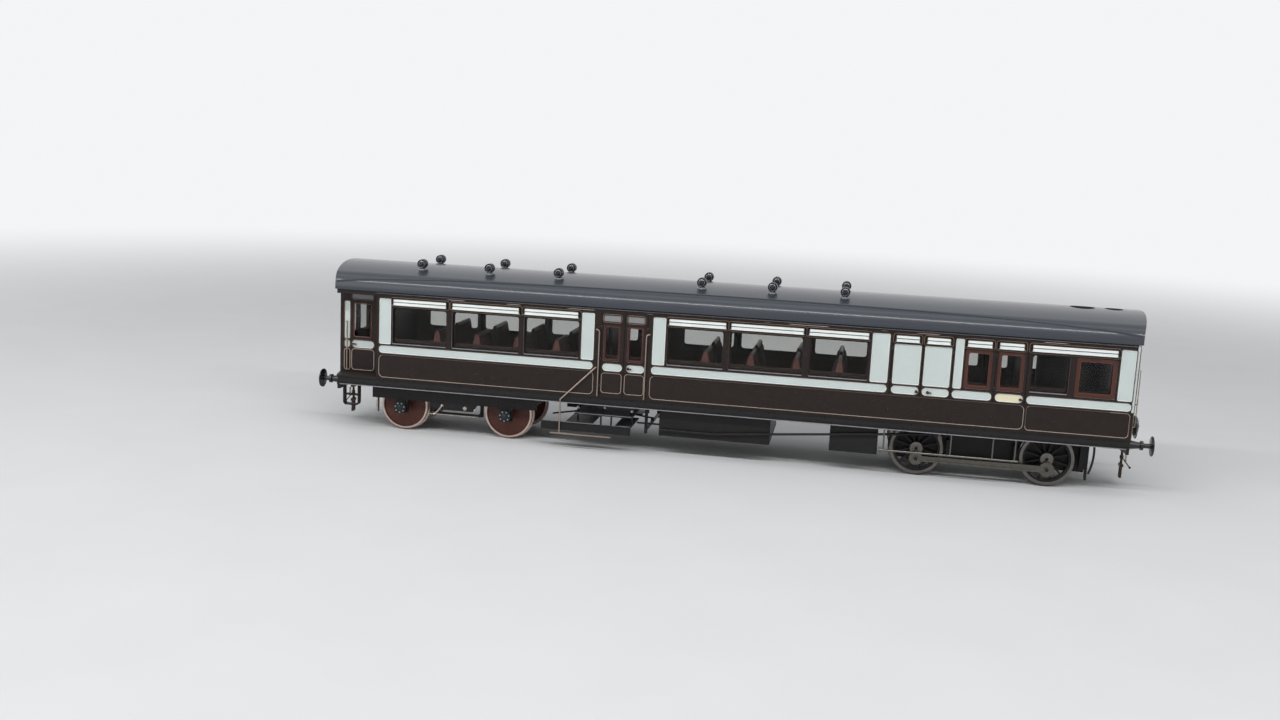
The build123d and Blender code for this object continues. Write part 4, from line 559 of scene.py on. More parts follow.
# %% Tree that sweeps a strip along outlines
class GeometryTree(Tree):
    """A geometry tree with named inputs, whose shape ends as one real mesh in its paint."""

    def __init__(self, name, inputs):
        super().__init__(bpy.data.node_groups.new(name, "GeometryNodeTree"))
        for label, kind in [("Geometry", "Geometry"), *inputs, ("Paint", "Material")]:
            self.tree.interface.new_socket(label, in_out="INPUT", socket_type="NodeSocket" + kind)
        self.tree.interface.new_socket("Geometry", in_out="OUTPUT", socket_type="NodeSocketGeometry")
        self.start = self.tree.nodes.new("NodeGroupInput")
        self.end = self.tree.nodes.new("NodeGroupOutput")

    def given(self, label):
        return Sock(self, self.start.outputs[label])

    def close(self, shape):
        real = self.node("GeometryNodeRealizeInstances", None, {0: shape})
        painted = self.node("GeometryNodeSetMaterial", None, {0: real, "Material": self.given("Paint")})
        self.put(self.end.inputs["Geometry"], painted)

    def grow(self, name, mesh, values):
        """What the tree makes from a mesh, with its inputs set by their identifiers."""
        holder = stand(name + "_holder", mesh)
        modifier = holder.modifiers.new("nodes", "NODES")
        modifier.node_group = self.tree
        for item in self.tree.interface.items_tree:
            if item.name in values:
                modifier[item.identifier] = values[item.name]
        return settled(holder)


strips = GeometryTree("strip_along_outline", [("Width", "Float"), ("Height", "Float"), ("Facing", "Vector")])
outline = strips.node("GeometryNodeMeshToCurve", None, {"Mesh": strips.given("Geometry")})
turned = strips.node("GeometryNodeSetCurveNormal", {"mode": "FREE"}, {
    "Curve": outline, "Normal": strips.given("Facing")})
section = strips.node("GeometryNodeCurvePrimitiveQuadrilateral", None, {
    "Width": strips.given("Height"), "Height": strips.given("Width")})
strips.close(strips.node("GeometryNodeCurveToMesh", None, {
    "Curve": turned, "Profile Curve": section, "Fill Caps": True}))
print("strip tree", len(strips.tree.nodes), "nodes")

# %% [markdown]
# The tree needs outlines to follow: rounded rectangles, made as loops of edges without faces. A polygon
# with rounded corners could also be a Bezier curve, but loops of points serve the boards of the windows as
# well.

# %% Outlines and strips
CORNER_STEPS = 5


def rounded_loop(x0, x1, z0, z1, radius):
    """Points of a rounded rectangle, starting along its bottom edge."""
    points = []
    corners = [(x1 - radius, z0 + radius, -90), (x1 - radius, z1 - radius, 0),
               (x0 + radius, z1 - radius, 90), (x0 + radius, z0 + radius, 180)]
    for cx, cz, start in corners:
        for step in range(CORNER_STEPS + 1):
            angle = math.radians(start + 90 * step / CORNER_STEPS)
            points.append((cx + radius * math.cos(angle), cz + radius * math.sin(angle)))
    return [points[-1]] + points[:-1]


def add_strips(name, runs, width, height, paint):
    """Strips along closed loops of points: runs pairs the way that loops face with the loops."""
    shape = bmesh.new()
    for facing, loops in runs:
        edges = bmesh.new()
        for loop in loops:
            verts = [edges.verts.new(point) for point in loop]
            for first, second in zip(verts, verts[1:] + verts[:1]):
                edges.edges.new((first, second))
        mesh = bpy.data.meshes.new(name)
        edges.to_mesh(mesh)
        edges.free()
        values = {"Width": width * MM, "Height": height * MM, "Facing": facing, "Paint": paint}
        shape.from_mesh(strips.grow(name, mesh, values))
    return add_shape(name, shape, paint, angle=0)


print("points of an outline", len(rounded_loop(0, 4, 0, 4, 1)))

# %% [markdown]
# The panels are the same on both sides of the coach. The solids hold them as sunk faces, but outlines can't
# be read from a mesh as cleanly as from a table. It gives each one's edges along the coach, its bottom, its
# top and its corner radius.

# %% Panel tables
WHITE_PANELS = [(x0, x1, 46.8, top, 0.8) for x0, x1, top in [
    (-177.3, -170.8, 70.9), (-69.0, -62.4, 71.0), (-32.3, -25.8, 71.1), (76.2, 84.8, 71.2),
    (87.0, 100.0, 66.6), (101.6, 114.4, 66.6), (115.9, 120.0, 71.3), (192.3, 199.3, 71.5)]]
WAIST_PANELS = [(x0, x1, 42.0, 46.0, 1.9) for x0, x1 in [
    (-177.4, -62.6), (-32.4, 84.8), (86.9, 100.0), (101.6, 114.5), (115.9, 134.6), (136.3, 149.3),
    (151.0, 199.3)]]
WAIST_PANELS += [(x0, x1, 41.8, 45.7, 1.9) for x0, x1 in [(-57.6, -47.4), (-45.2, -35.9)]]
LOWER_PANELS = [
    (-177.4, -62.0, 29.0, 41.2, 2.6), (-58.0, -47.3, 30.3, 40.9, 1.7), (-46.0, -35.8, 30.3, 40.9, 1.7),
    (-32.9, 150.5, 29.0, 41.2, 2.6), (151.3, 199.3, 29.0, 41.2, 2.0)]
TOPLIGHTS = [(-57.5, -48.9, 67.3, 70.4, 0.9), (-45.2, -36.8, 67.3, 70.4, 0.9)]
BONNET_LOW = 67.3
BONNET_TOP = 71.1
BONNETS = [
    (-169.9, -140.2), (-137.9, -101.4), (-99.5, -70.3), (-24.7, 5.0), (6.5, 43.4), (45.1, 75.0),
    (87.1, 99.2), (101.8, 113.9), (120.9, 133.4), (135.8, 148.3), (151.1, 191.1)]
WINDOWS = [(x0, x1, 47.3, 66.5) for x0, x1 in [
    (-170.2, -140.4), (-137.7, -101.6), (-99.3, -69.9), (-24.9, 4.0), (6.3, 43.5), (46.0, 75.3)]]
WINDOWS.append((151.6, 169.6, 47.9, 66.2))
# The last number of a droplight is the width of its wooden frame
DROPLIGHTS = [
    (-57.4, -48.8, 47.0, 65.4, 0.9), (-45.2, -36.7, 47.0, 65.4, 0.9), (121.0, 133.6, 47.2, 66.3, 1.5),
    (136.4, 148.7, 47.2, 66.3, 1.5), (172.5, 191.1, 47.2, 66.3, 1.8)]
print("panels", len(WHITE_PANELS) + len(WAIST_PANELS) + len(LOWER_PANELS))

# %% [markdown]
# The lines of the lower panels are cream and broad, and those round the upper panels and the ventilator
# bonnets are finer and darker. Every line is its panel's outline, moved outwards or inwards, so the tables
# above are all that it takes.

# %% Lining of both sides
LINE_WIDE = 0.31
LINE_FINE = 0.2
LINE_PROUD = 0.05
SEATED = 0.01


def grown(panels, out):
    """The outlines of panels moved outwards, or inwards where out is negative."""
    return [(x0 - out, x1 + out, z0 - out, z1 + out, max(radius + out, 0.1))
            for x0, x1, z0, z1, radius in panels]


def lining(name, panels, face, width, height, paint):
    """The same lines on both sides of the coach, lying on a face at that distance from its middle."""
    runs = []
    for side in SIDES:
        y = side * (face + height / 2 - SEATED)
        loops = [[at(x, y, z) for x, z in rounded_loop(*panel)] for panel in panels]
        runs.append(((0, side, 0), loops))
    add_strips(name, runs, width, height, paint)


lower = grown(LOWER_PANELS, -LINE_WIDE / 2)
lining("lower_lining", lower, BODY_HALF - SUNK, LINE_WIDE, LINE_FINE, LINING)
hoods = [(x0 - 0.9, x1 + 0.9, BONNET_LOW - 0.5, BONNET_TOP + 0.6, 1.3) for x0, x1 in BONNETS]
hoods += grown(TOPLIGHTS, 0.55)
lining("bonnet_lining", hoods, BODY_HALF, LINE_FINE * 1.2, LINE_PROUD, FINE_LINING)
upper = grown(WHITE_PANELS + WAIST_PANELS, 0.3)
lining("upper_lining", upper, BODY_HALF, LINE_FINE * 0.8, LINE_PROUD, UPPER_LINING)
print("lines of a side", len(lower) + len(hoods) + len(upper))

# %% [markdown]
# ## Seats
# The saloon has eight pairs of seats back to back on each side of the gangway. A cushion is a closed pad:
# its faces are crowned in the middle, and its sides pull in between the corners. At this scale a cloth
# simulation has nothing to fold, so each pad is a fine box whose points are moved by a formula.

# %% Upholstery and pads
SEATS_X = [-146.5, -125.0, -103.5, -82.5, -5.5, 17.3, 40.0, 61.3]
SEAT_IN = 5.5
SEAT_OUT = 27.0
FLOOR_TOP = 28.7
PAD_STEPS = 10
PAD_CROWN = 0.35
PAD_PINCH = 0.15
PAD_ROUND = 1.1
# Pads of a seat: distance from the pair's middle, height above the floor, length, depth, lean in degrees
PADS = [(6.1, 9.5, 5.4, 2.2, 0.0), (2.0, 17.6, 15.0, 1.7, 79.0)]

cloth = Finish("seat_cloth", rough=0.85, mirror=0.1)
rib = cloth.math("SINE", cloth.axis("Y") * 14.0)
patch = cloth.noise(0.25)
cloth.set("Base Color", cloth.blend(patch, rgb(78, 52, 48), rgb(56, 38, 35)))
cloth.set("Roughness", patch * 0.1 + 0.8)
cloth.bump(rib * 0.3 + cloth.noise(2.5, 3.0), 0.05, 0.6)


def add_pad(shape, centre, size, lean):
    """Adds one crowned pad: centre and size in millimetres, lean in degrees about the Y axis."""
    pad = bmesh.new()
    bmesh.ops.create_cube(pad, size=2.0)
    bmesh.ops.subdivide_edges(pad, edges=pad.edges[:], cuts=PAD_STEPS - 1, use_grid_fill=True)
    half = Vector(size) / 2
    turn = Matrix.Rotation(math.radians(lean), 3, "Y")
    for vert in pad.verts:
        unit = vert.co.copy()
        point = Vector([share * reach for share, reach in zip(unit, half)])
        flat = [reach - PAD_ROUND for reach in half]
        core = Vector([max(-reach, min(reach, part)) for reach, part in zip(flat, point)])
        if (point - core).length > 1e-6:
            point = core + (point - core).normalized() * PAD_ROUND
        if abs(unit.z) > 0.99:
            point.z += math.copysign(PAD_CROWN * (1 - unit.x ** 2) * (1 - unit.y ** 2), unit.z)
        if abs(unit.x) > 0.99:
            point.x -= math.copysign(PAD_PINCH * (1 - unit.y ** 2), unit.x)
        if abs(unit.y) > 0.99:
            point.y -= math.copysign(PAD_PINCH * (1 - unit.x ** 2), unit.y)
        vert.co = at(*(turn @ point + Vector(centre)))
    merge_into(shape, pad)


for number, seat_x in enumerate(SEATS_X, 1):
    for side, side_name in zip(SIDES, ("near", "far")):
        shape = bmesh.new()
        for way in SIDES:
            for dx, dz, length, depth, lean in PADS:
                centre = (seat_x + way * dx, side * (SEAT_IN + SEAT_OUT) / 2, FLOOR_TOP + dz)
                add_pad(shape, centre, (length, SEAT_OUT - SEAT_IN - 0.8, depth), way * lean)
        pads = add_shape(f"seat_pads_{side_name}_{number}", shape, cloth.material)
print("padded pieces", 2 * len(SEATS_X))

# %% [markdown]
# The wooden frame of a pair rises above the upholstery between the two backs. It is made as a joiner would:
# each board is an outline, drawn once and pushed across the seat's width, and its edges are softened by a
# small bevel. Only half of an outline is written down, because both halves are alike.

# %% Seat frames
BOARD_BEVEL = 0.12
# Half outlines: distance from the pair's middle, height above the floor
BACK_BOARD = [(1.0, 6.0), (0.8, 26.2), (0.3, 26.7)]
SEAT_BOARD = [(8.6, 7.7), (8.6, 8.6)]
GANGWAY_END = [
    (2.6, 0.0), (2.6, 7.0), (8.4, 8.0), (7.9, 9.2), (3.4, 10.6), (1.4, 23.4), (0.8, 26.2), (0.3, 26.7)]
BACK_END = [(3.5, 9.4), (2.8, 15.0), (1.7, 22.6), (1.2, 25.4), (0.7, 26.5)]
CUSHION_END = [(8.7, 7.6), (8.9, 9.6), (8.2, 10.6), (4.6, 10.7)]


def add_prism(shape, outline, y0, y1, bevel):
    """A closed prism across the coach from an outline of (X, height) points."""
    verts = [shape.verts.new(at(x, y0, z)) for x, z in outline]
    pushed = bmesh.ops.extrude_face_region(shape, geom=[shape.faces.new(verts)])
    moved = [item for item in pushed["geom"] if isinstance(item, bmesh.types.BMVert)]
    bmesh.ops.translate(shape, verts=moved, vec=Vector((0, (y1 - y0) * MM, 0)))
    around = list({edge for vert in verts + moved for edge in vert.link_edges})
    bmesh.ops.bevel(shape, geom=around, offset=bevel * MM, segments=2, affect="EDGES")


def seat_boards(name, boards, lift, paint):
    """The boards of every pair of seats from (half outline, inner edge, outer edge)."""
    shape = bmesh.new()
    for seat_x in SEATS_X:
        for side in SIDES:
            for half, y0, y1 in boards:
                whole = [(-x, z) for x, z in half] + half[::-1]
                outline = [(seat_x + x, FLOOR_TOP + lift + z) for x, z in whole]
                add_prism(shape, outline, side * y0, side * y1, BOARD_BEVEL)
    return add_shape(name, shape, paint)


frames = seat_boards("seat_frames", [
    (BACK_BOARD, SEAT_IN + 0.4, SEAT_OUT - 0.1), (SEAT_BOARD, SEAT_IN + 0.4, SEAT_OUT - 0.1),
    (GANGWAY_END, SEAT_IN, SEAT_IN + 0.6)], 0.02, DARK_WOOD)
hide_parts("seats")
# Painted light: lighter end boards at the window side of each seat
seat_boards("seat_end_boards", [
    (BACK_END, SEAT_OUT - 0.35, SEAT_OUT - 0.02), (CUSHION_END, SEAT_OUT - 0.35, SEAT_OUT - 0.02)],
    0, SEAT_END_LIT)
print("seat frames", 2 * len(SEATS_X))

# %% [markdown]
# ## Small fastenings
# Rivets, bolts and nuts repeat all over the metalwork. Modelling each by hand would be endless, and copies
# in an array only suit straight rows. One tree sets a small turned head on every point of a mesh, and turns
# it to face the way that a stored direction says.

# %% Tree that sets heads on points
UP = (0, 0, 1)
BACK, FRONT = (-1, 0, 0), (1, 0, 0)
head_tree = GeometryTree("heads_on_points", [
    ("Sides", "Int"), ("Radius", "Float"), ("Crown", "Float"), ("Height", "Float")])
points = head_tree.node("GeometryNodeMeshToPoints", None, {"Mesh": head_tree.given("Geometry")})
head = head_tree.node("GeometryNodeMeshCone", None, {
    "Vertices": head_tree.given("Sides"), "Radius Bottom": head_tree.given("Radius"),
    "Radius Top": head_tree.given("Crown"), "Depth": head_tree.given("Height")}, "Mesh")
way_out = head_tree.node("GeometryNodeInputNamedAttribute", {"data_type": "FLOAT_VECTOR"}, {
    "Name": "facing"}, "Attribute")
aligned = head_tree.node("FunctionNodeAlignRotationToVector", {"axis": "Z"}, {"Vector": way_out})
head_tree.close(head_tree.node("GeometryNodeInstanceOnPoints", None, {
    "Points": points, "Instance": head, "Rotation": aligned}))


def heads(name, spots, size, paint, body="coach"):
    """Heads on spots of (x, y, z, facing): size is radius, crown radius, height and number of sides."""
    mesh = bpy.data.meshes.new(name)
    mesh.from_pydata([at(x, y, z) for x, y, z, facing in spots], [], [])
    facings = mesh.attributes.new("facing", "FLOAT_VECTOR", "POINT")
    facings.data.foreach_set("vector", [part for spot in spots for part in spot[3]])
    radius, crown, height, sides = size
    values = {"Radius": radius * MM, "Crown": crown * MM, "Height": height * MM}
    values.update({"Sides": sides, "Paint": paint})
    add_piece(name, head_tree.grow(name, mesh, values), body)


def row(first, last, count):
    """Evenly spaced numbers."""
    return [first + (last - first) * step / (count - 1) for step in range(count)]


def both_sides(places, axis=None):
    """Spots of (x, y, z, axis) on the near and the far side, facing outwards where no axis is given."""
    return [(x, side * y, z, axis or (0, side, 0)) for side in SIDES for x, y, z in places]


print("head tree", len(head_tree.tree.nodes), "nodes")

# %% [markdown]
# Three more helpers serve the joinery and the turned parts: a board with a rounded opening in it, a
# bevelled bar, and a turned shape whose outline is given as distances along its axis and radii. Spin could
# turn it too, but it leaves doubled points on the axis. Here each end closes in one point, so no pole has a
# hole.

# %% Boards, bars and turned shapes
DOME_STEPS = 4


def add_board(shape, outer, inner, y0, y1):
    """A flat board between two rounded rectangles that have the same number of points."""
    rings = []
    for y in (y0, y1):
        for edge in (outer, inner):
            rings.append([shape.verts.new(at(x, y, z)) for x, z in rounded_loop(*edge)])
    for first, second in ((0, 1), (1, 3), (3, 2), (2, 0)):
        one, two = rings[first], rings[second]
        for step in range(len(one)):
            after = (step + 1) % len(one)
            shape.faces.new((one[step], one[after], two[after], two[step]))


def add_bar(shape, x0, x1, y0, y1, z0, z1, bevel):
    """A square bar with narrow faces along its edges. On a mirrored bar they stand out by the bevel."""
    bar = bmesh.new()
    bmesh.ops.create_cube(bar, size=1.0)
    for vert in bar.verts:
        share = vert.co + Vector((0.5, 0.5, 0.5))
        vert.co = at(x0 + (x1 - x0) * share.x, y0 + (y1 - y0) * share.y, z0 + (z1 - z0) * share.z)
    bmesh.ops.bevel(bar, geom=bar.edges[:], offset=bevel * MM, segments=1, affect="EDGES")
    merge_into(shape, bar)


def bar_piece(name, bars, bevel, paint, body="coach", angle=30):
    """Bars of (x0, x1, y0, y1, z0, z1) on the near side, and the same on the far side."""
    shape = bmesh.new()
    for side in SIDES:
        for x0, x1, y0, y1, z0, z1 in bars:
            add_bar(shape, x0, x1, side * y0, side * y1, z0, z1, bevel)
    add_shape(name, shape, paint, body, angle)


def add_turned(shape, spot, outline, sides):
    """A turned shape on a spot: outline is (distance along the axis, radius), from axis to axis."""
    x, y, z, axis = spot
    part = bmesh.new()
    turn = Vector(axis).to_track_quat("Z", "Y").to_matrix()
    angles = [2 * math.pi * step / sides for step in range(sides)]
    rings = []
    for along, radius in outline:
        ring = [(radius * math.cos(a), radius * math.sin(a), along) for a in angles]
        rings.append([part.verts.new(turn @ Vector(point)) for point in (ring if radius else ring[:1])])
    for one, two in zip(rings, rings[1:]):
        for step in range(sides):
            walk = [(one, step), (one, step + 1), (two, step + 1), (two, step)]
            corners = list(dict.fromkeys(ring[place % len(ring)] for ring, place in walk))
            if len(corners) > 2:
                part.faces.new(corners)
    for vert in part.verts:
        vert.co = at(*(Vector((x, y, z)) + vert.co))
    merge_into(shape, part)


def turned_piece(name, spots, outline, sides, paint, body="coach", angle=40):
    """The same turned shape on each spot, as one piece."""
    shape = bmesh.new()
    for spot in spots:
        add_turned(shape, spot, outline, sides)
    add_shape(name, shape, paint, body, angle)


def dome(foot, length, radius):
    """The last points of a turned outline: a low dome that starts at its foot."""
    bend = [math.radians(90 * step / DOME_STEPS) for step in range(DOME_STEPS)]
    return [(foot + length * math.sin(a), radius * math.cos(a)) for a in bend] + [(foot + length, 0)]


print("points of a dome", len(dome(0, 1, 1)))

# %% [markdown]
# ## Window joinery
# Behind every pane the real coach has a polished frame with rounded corners, deeper at the bottom, and a
# dark bead holds the glass from outside, over a sill painted pale grey, a painted highlight. A Boolean
# could cut the openings, but its corners are harder to control. Boards between two outlines make both,
# straight from the window table.

# %% Inner frames, beads and sills
FRAME_FACES = (27.06, 27.48)
BEAD_FACES = (28.05, 29.2)
SILL_FACES = (29.0, 29.66)

for side, side_name in zip(SIDES, ("near", "far")):
    shape = bmesh.new()
    for x0, x1, z0, z1, frame_width in [(*window, 0.0) for window in WINDOWS] + DROPLIGHTS:
        inset = max(frame_width, 1.0)
        outer = (x0 - 0.8, x1 + 0.8, z0 - 0.7, z1 + 0.7, 0.2)
        inner = (x0 + inset, x1 - inset, z0 + 2.6, z1 - 0.5, 1.5)
        add_board(shape, outer, inner, *[side * face for face in FRAME_FACES])
    add_shape("inner_frames_" + side_name, shape, INNER_WOOD, angle=30)
shape = bmesh.new()
for side in SIDES:
    for x0, x1, z0, z1 in WINDOWS:
        outer = (x0 + 0.01, x1 - 0.01, z0 + 0.01, z1 - 0.01, 0.05)
        inner = (x0 + 0.5, x1 - 0.5, z0 + 0.5, z1 - 0.45, 1.1)
        add_board(shape, outer, inner, *[side * face for face in BEAD_FACES])
add_shape("window_beads", shape, PLUM_PLAIN, angle=30)
# Painted highlight: the sills are painted pale grey where the lower frames catch the light
sills = [(x0 + 0.4, x1 - 0.4, *SILL_FACES, z0 - 0.12, z0 + 0.24) for x0, x1, z0, z1 in WINDOWS]
bar_piece("window_sills", sills, 0.1, PALE_GREY_AND_HIGHLIGHT)
print("window frames", 2 * (2 * len(WINDOWS) + len(DROPLIGHTS)))

# %% [markdown]
# The mahogany frames of the droplights show a finer bright line where the varnish is worn on the inner
# edge, and the sunk panels have a white line along theirs. Edge wear from a shader needs a bevel to find,
# so the strip tree draws these lines too.

# %% White edges and worn frame lines
DROPLIGHT_FACE = 29.25
EDGE_PROUD = 0.08
edges = grown(WHITE_PANELS + WAIST_PANELS, -0.22)
lining("white_edges", edges, BODY_HALF - SUNK, 0.42, EDGE_PROUD, WHITE_LINE)
openings = [(x0 + width, x1 - width, z0 + width, z1 - width, 0.9) for x0, x1, z0, z1, width in DROPLIGHTS]
lining("droplight_lines", openings, DROPLIGHT_FACE, 0.22, EDGE_PROUD, WORN_WOOD)
lining("toplight_lines", grown(TOPLIGHTS, -0.1), BODY_HALF - SUNK, LINE_FINE, EDGE_PROUD, PALE_GREY_AND_HIGHLIGHT)
print("edge lines of a side", len(edges) + len(openings) + len(TOPLIGHTS))

# %% [markdown]
# Each ventilator bonnet ends in a dark shaped block that blends it into the panelling. A bar with a strong
# bevel is near enough to its rounded shape at this size.

# %% Bonnet ends
BLOCK = (29.55, 30.42, BONNET_LOW - 0.1, BONNET_TOP + 0.1)
blocks = [(x0 - 0.05, x0 + 0.55, *BLOCK) for x0, x1 in BONNETS]
blocks += [(x1 - 0.55, x1 + 0.05, *BLOCK) for x0, x1 in BONNETS]
bar_piece("bonnet_ends", blocks, 0.22, PLUM_PLAIN, angle=40)
print("bonnet ends", 2 * len(blocks))

# %% [markdown]
# ## Vestibule
# At the trailing end the doors stand in a recess, on a wall nearer the middle of the coach. Its panels, its
# cream capsule and its droplight are lined like those of the sides, so they need only tables of their own.

# %% Vestibule lining
VESTIBULE_LOW = [(-200.3, -197.4, 30.0, 41.2, 1.2), (-196.1, -183.9, 30.3, 41.2, 1.5)]
VESTIBULE_WAIST = [(-196.0, -183.9, 42.0, 46.0, 1.9), (-200.3, -197.4, 42.0, 46.0, 1.2)]
VESTIBULE_HIGH = [(-200.3, -197.4, 46.8, 66.8, 0.8), (-196.1, -184.5, 68.2, 70.9, 0.9)]
VESTIBULE_WINDOW = [(-195.3, -185.1, 47.8, 66.1, 0.9)]
lining("vestibule_lining", grown(VESTIBULE_LOW, 0.15), RECESS_Y, 0.34, LINE_PROUD, LINING)
lining("vestibule_white_edges", grown(VESTIBULE_WAIST + VESTIBULE_HIGH[:1], -0.2), RECESS_Y - SUNK, 0.38,
       EDGE_PROUD, WHITE_LINE)
lining("vestibule_capsule_lines", grown(VESTIBULE_WAIST + VESTIBULE_HIGH, 0.3), RECESS_Y, LINE_FINE,
       LINE_PROUD, FINE_LINING)
lining("vestibule_droplight_lines", grown(VESTIBULE_WINDOW, -0.3), RECESS_Y - 0.2, 0.36, 0.3, WORN_WOOD)
print("vestibule panels", len(VESTIBULE_LOW + VESTIBULE_WAIST + VESTIBULE_HIGH))

# %% [markdown]
# ## Doors
# The doors are only gaps in the panelling. Cutting them would split the side, so a near black line follows
# each edge instead. Three small turned knuckles stand on the hinge side, and each handle turns on a round
# rose.

# %% Door gaps, hinges and roses
# Edge of a door along the coach, lowest and highest point
DOOR_EDGES = [(x, 28.3, 72.2) for x in (-58.6, -46.65, -34.9)]
DOOR_EDGES += [(x, 41.5, 72.4) for x in (86.15, 100.85, 115.15, 135.45, 150.15)]
HINGES_X = (-58.6, -34.9, 86.15, 115.15, 135.45)
HINGES_Z = (33.0, 47.2, 63.5)
HANDLES_X = (-44.3, 99.0, 104.4, 148.2)
bar_piece("door_gaps", [(x - 0.13, x + 0.13, 29.5, 29.63, low, high) for x, low, high in DOOR_EDGES],
          0.02, GAP)
turned_piece("door_hinges", both_sides([(x, 29.72, z) for x in HINGES_X for z in HINGES_Z], UP),
             [(0, 0), (0, 0.28), (0.15, 0.36), (1.5, 0.36), (1.65, 0.28), (1.65, 0)], 10,
             BLACK_GLOSS)
turned_piece("handle_roses", both_sides([(x, 29.5, 43.7) for x in HANDLES_X]),
             [(0, 0), (0, 0.75), (0.28, 0.68), (0.4, 0.4), (0.42, 0)], 14, DARK_STEEL)
print("door edges", 2 * len(DOOR_EDGES))

# %% [markdown]
# Under the roof a round cornice moulding runs along each side, with a fine line below it that catches the
# light in short streaks. Both are straight, so each is a slim bevelled bar. The streaks are painted
# reflections: a stretched noise with its middle values spread out, because real reflections would need
# something bright to stand near.

# %% Cornice
CORNICE_END = 199.0
glint_paint = Finish("cornice_streaks", rough=0.2)
# Painted reflection: light streaks along the line under the cornice
glint_noise = glint_paint.noise(0.035, 2.0, (1, 0.01, 0.01))
painted_glint = glint_paint.node("ShaderNodeMapRange", None, {"Value": glint_noise, "From Min": 0.53, "From Max": 0.57})
glint_paint.set("Base Color", glint_paint.blend(painted_glint, rgb(38, 28, 32), rgb(176, 160, 160)))
glint_paint.set("Roughness", glint_noise * 0.1 + 0.15)
bar_piece("cornice_moulding", [(RECESS_X, CORNICE_END, 29.45, 30.05, 73.25, 73.95)], 0.26, BLACK_GLOSS,
          angle=60)
bar_piece("cantrail_line", [(RECESS_X, CORNICE_END, 29.5, 29.68, 72.35, 72.6)], 0.05, glint_paint.material)
print("cornice", CORNICE_END - RECESS_X, "mm long")

# %% [markdown]
# ## Fastenings on the metalwork
# Rows of rivets hold the girders, tanks and bogie plates together. They are listed as rows, and one call
# sets the heads of each body, because a head has to move with its bogie.

# %% Rivets of the underframe and the bogies
RIVET = (0.3, 0.16, 0.2, 8)
SOLEBAR_Y = 28.6
TANK_Y = 25.0
TANKS = [(-27.6, 29.0), (58.9, 82.6)]
TANK_ROWS = (11.0, 22.6)
PLATE_Y = 23.2

places = []
for x in row(-196, 196, 57):
    places += [(x, SOLEBAR_Y, 26.9), (x + 3.4, SOLEBAR_Y, 25.0)]
for x0, x1 in TANKS:
    edge = (x0 + 1.4, x1 - 1.4)
    places += [(x, TANK_Y, z) for z in TANK_ROWS for x in row(*edge, int((x1 - x0) / 3.2))]
    places += [(x, TANK_Y, z) for z in row(12.8, 21.0, 4) for x in edge]
girder_rivets = both_sides(places)
for way in SIDES:
    girder_rivets += [(way * CORNER_X, y, 20.6, (way, 0, 0)) for y in row(-24, 24, 13)]
for y in row(-22, 22, 15):
    for z in TANK_ROWS:
        girder_rivets += [(x0, y, z, BACK) for x0, x1 in TANKS] + [(x1, y, z, FRONT) for x0, x1 in TANKS]
heads("girder_rivets", girder_rivets, RIVET, BLACK_GLOSS)

places = [(x, PLATE_Y, 21.7) for x in row(-180.5, -95.5, 29)]
places += [(x, PLATE_Y, 14.0) for x in row(-147, -129, 7)]
for axle_x in TRAIL_AXLES.values():
    places += [(axle_x + dx, PLATE_Y, z) for dx in (-4.6, 4.6) for z in (17.6, 19.6)]
heads("bogie_rivets", both_sides(places), RIVET, BLACK_GLOSS, "trailing_bogie")
print("rivets", len(girder_rivets) + 2 * len(places))

# %% [markdown]
# The cover of each trailing axlebox carries a star of seven bolts round a low cap. A star is a row bent
# round a middle, so its places come from an angle, and the same tree sets the heads. The front plate of the
# motor bogie has two more rows of rivets.

# %% Axlebox covers and front plate
COVER_Y = 25.9
COVER_BOLTS = 7
COVER_R = 2.45
FRONT_PLATE_X = 184.42
places = []
for axle_x in TRAIL_AXLES.values():
    for turn in range(COVER_BOLTS):
        angle = 2 * math.pi * (turn + 0.25) / COVER_BOLTS
        places.append((axle_x + COVER_R * math.cos(angle), COVER_Y, TRAIL_R + COVER_R * math.sin(angle)))
# Painted highlight: the bolt heads are a pale grey-blue metal
heads("axlebox_bolts", both_sides(places), (0.52, 0.4, 0.3, 6), BOLT_HIGHLIGHT_METAL, "trailing_bogie")
caps = both_sides([(axle_x, COVER_Y - 0.05, TRAIL_R) for axle_x in TRAIL_AXLES.values()])
turned_piece("axlebox_caps", caps, [(0, 0), (0, 1.35), (0.22, 1.3), (0.34, 0.9), (0.36, 0)], 18,
             BLACK_GLOSS, "trailing_bogie")
plate_rivets = [(FRONT_PLATE_X, y, z, FRONT) for y in row(-16, 16, 11) for z in (10.0, 20.4)]
heads("front_plate_rivets", plate_rivets, RIVET, BLACK_GLOSS, "motor_bogie")
print("bolts", 2 * len(places), "rivets", len(plate_rivets))

# %% [markdown]
# ## Driving wheels and rods
# The hub of each driving wheel is faced bright, with the dark end of the axle in its middle. The crank pins
# carry hexagon nuts outside the rods, and a small oil cup stands on each end of a rod. The nuts turn with
# the axle and the cups stay with the rod, so they are separate pieces although they touch.

# %% Hub faces, pin nuts and oil cups
HUB_Y = 18.65
THROW = 4.7
NUT_Y = 20.95
ROD_Y = 20.0
CUP_HEIGHT = 3.3
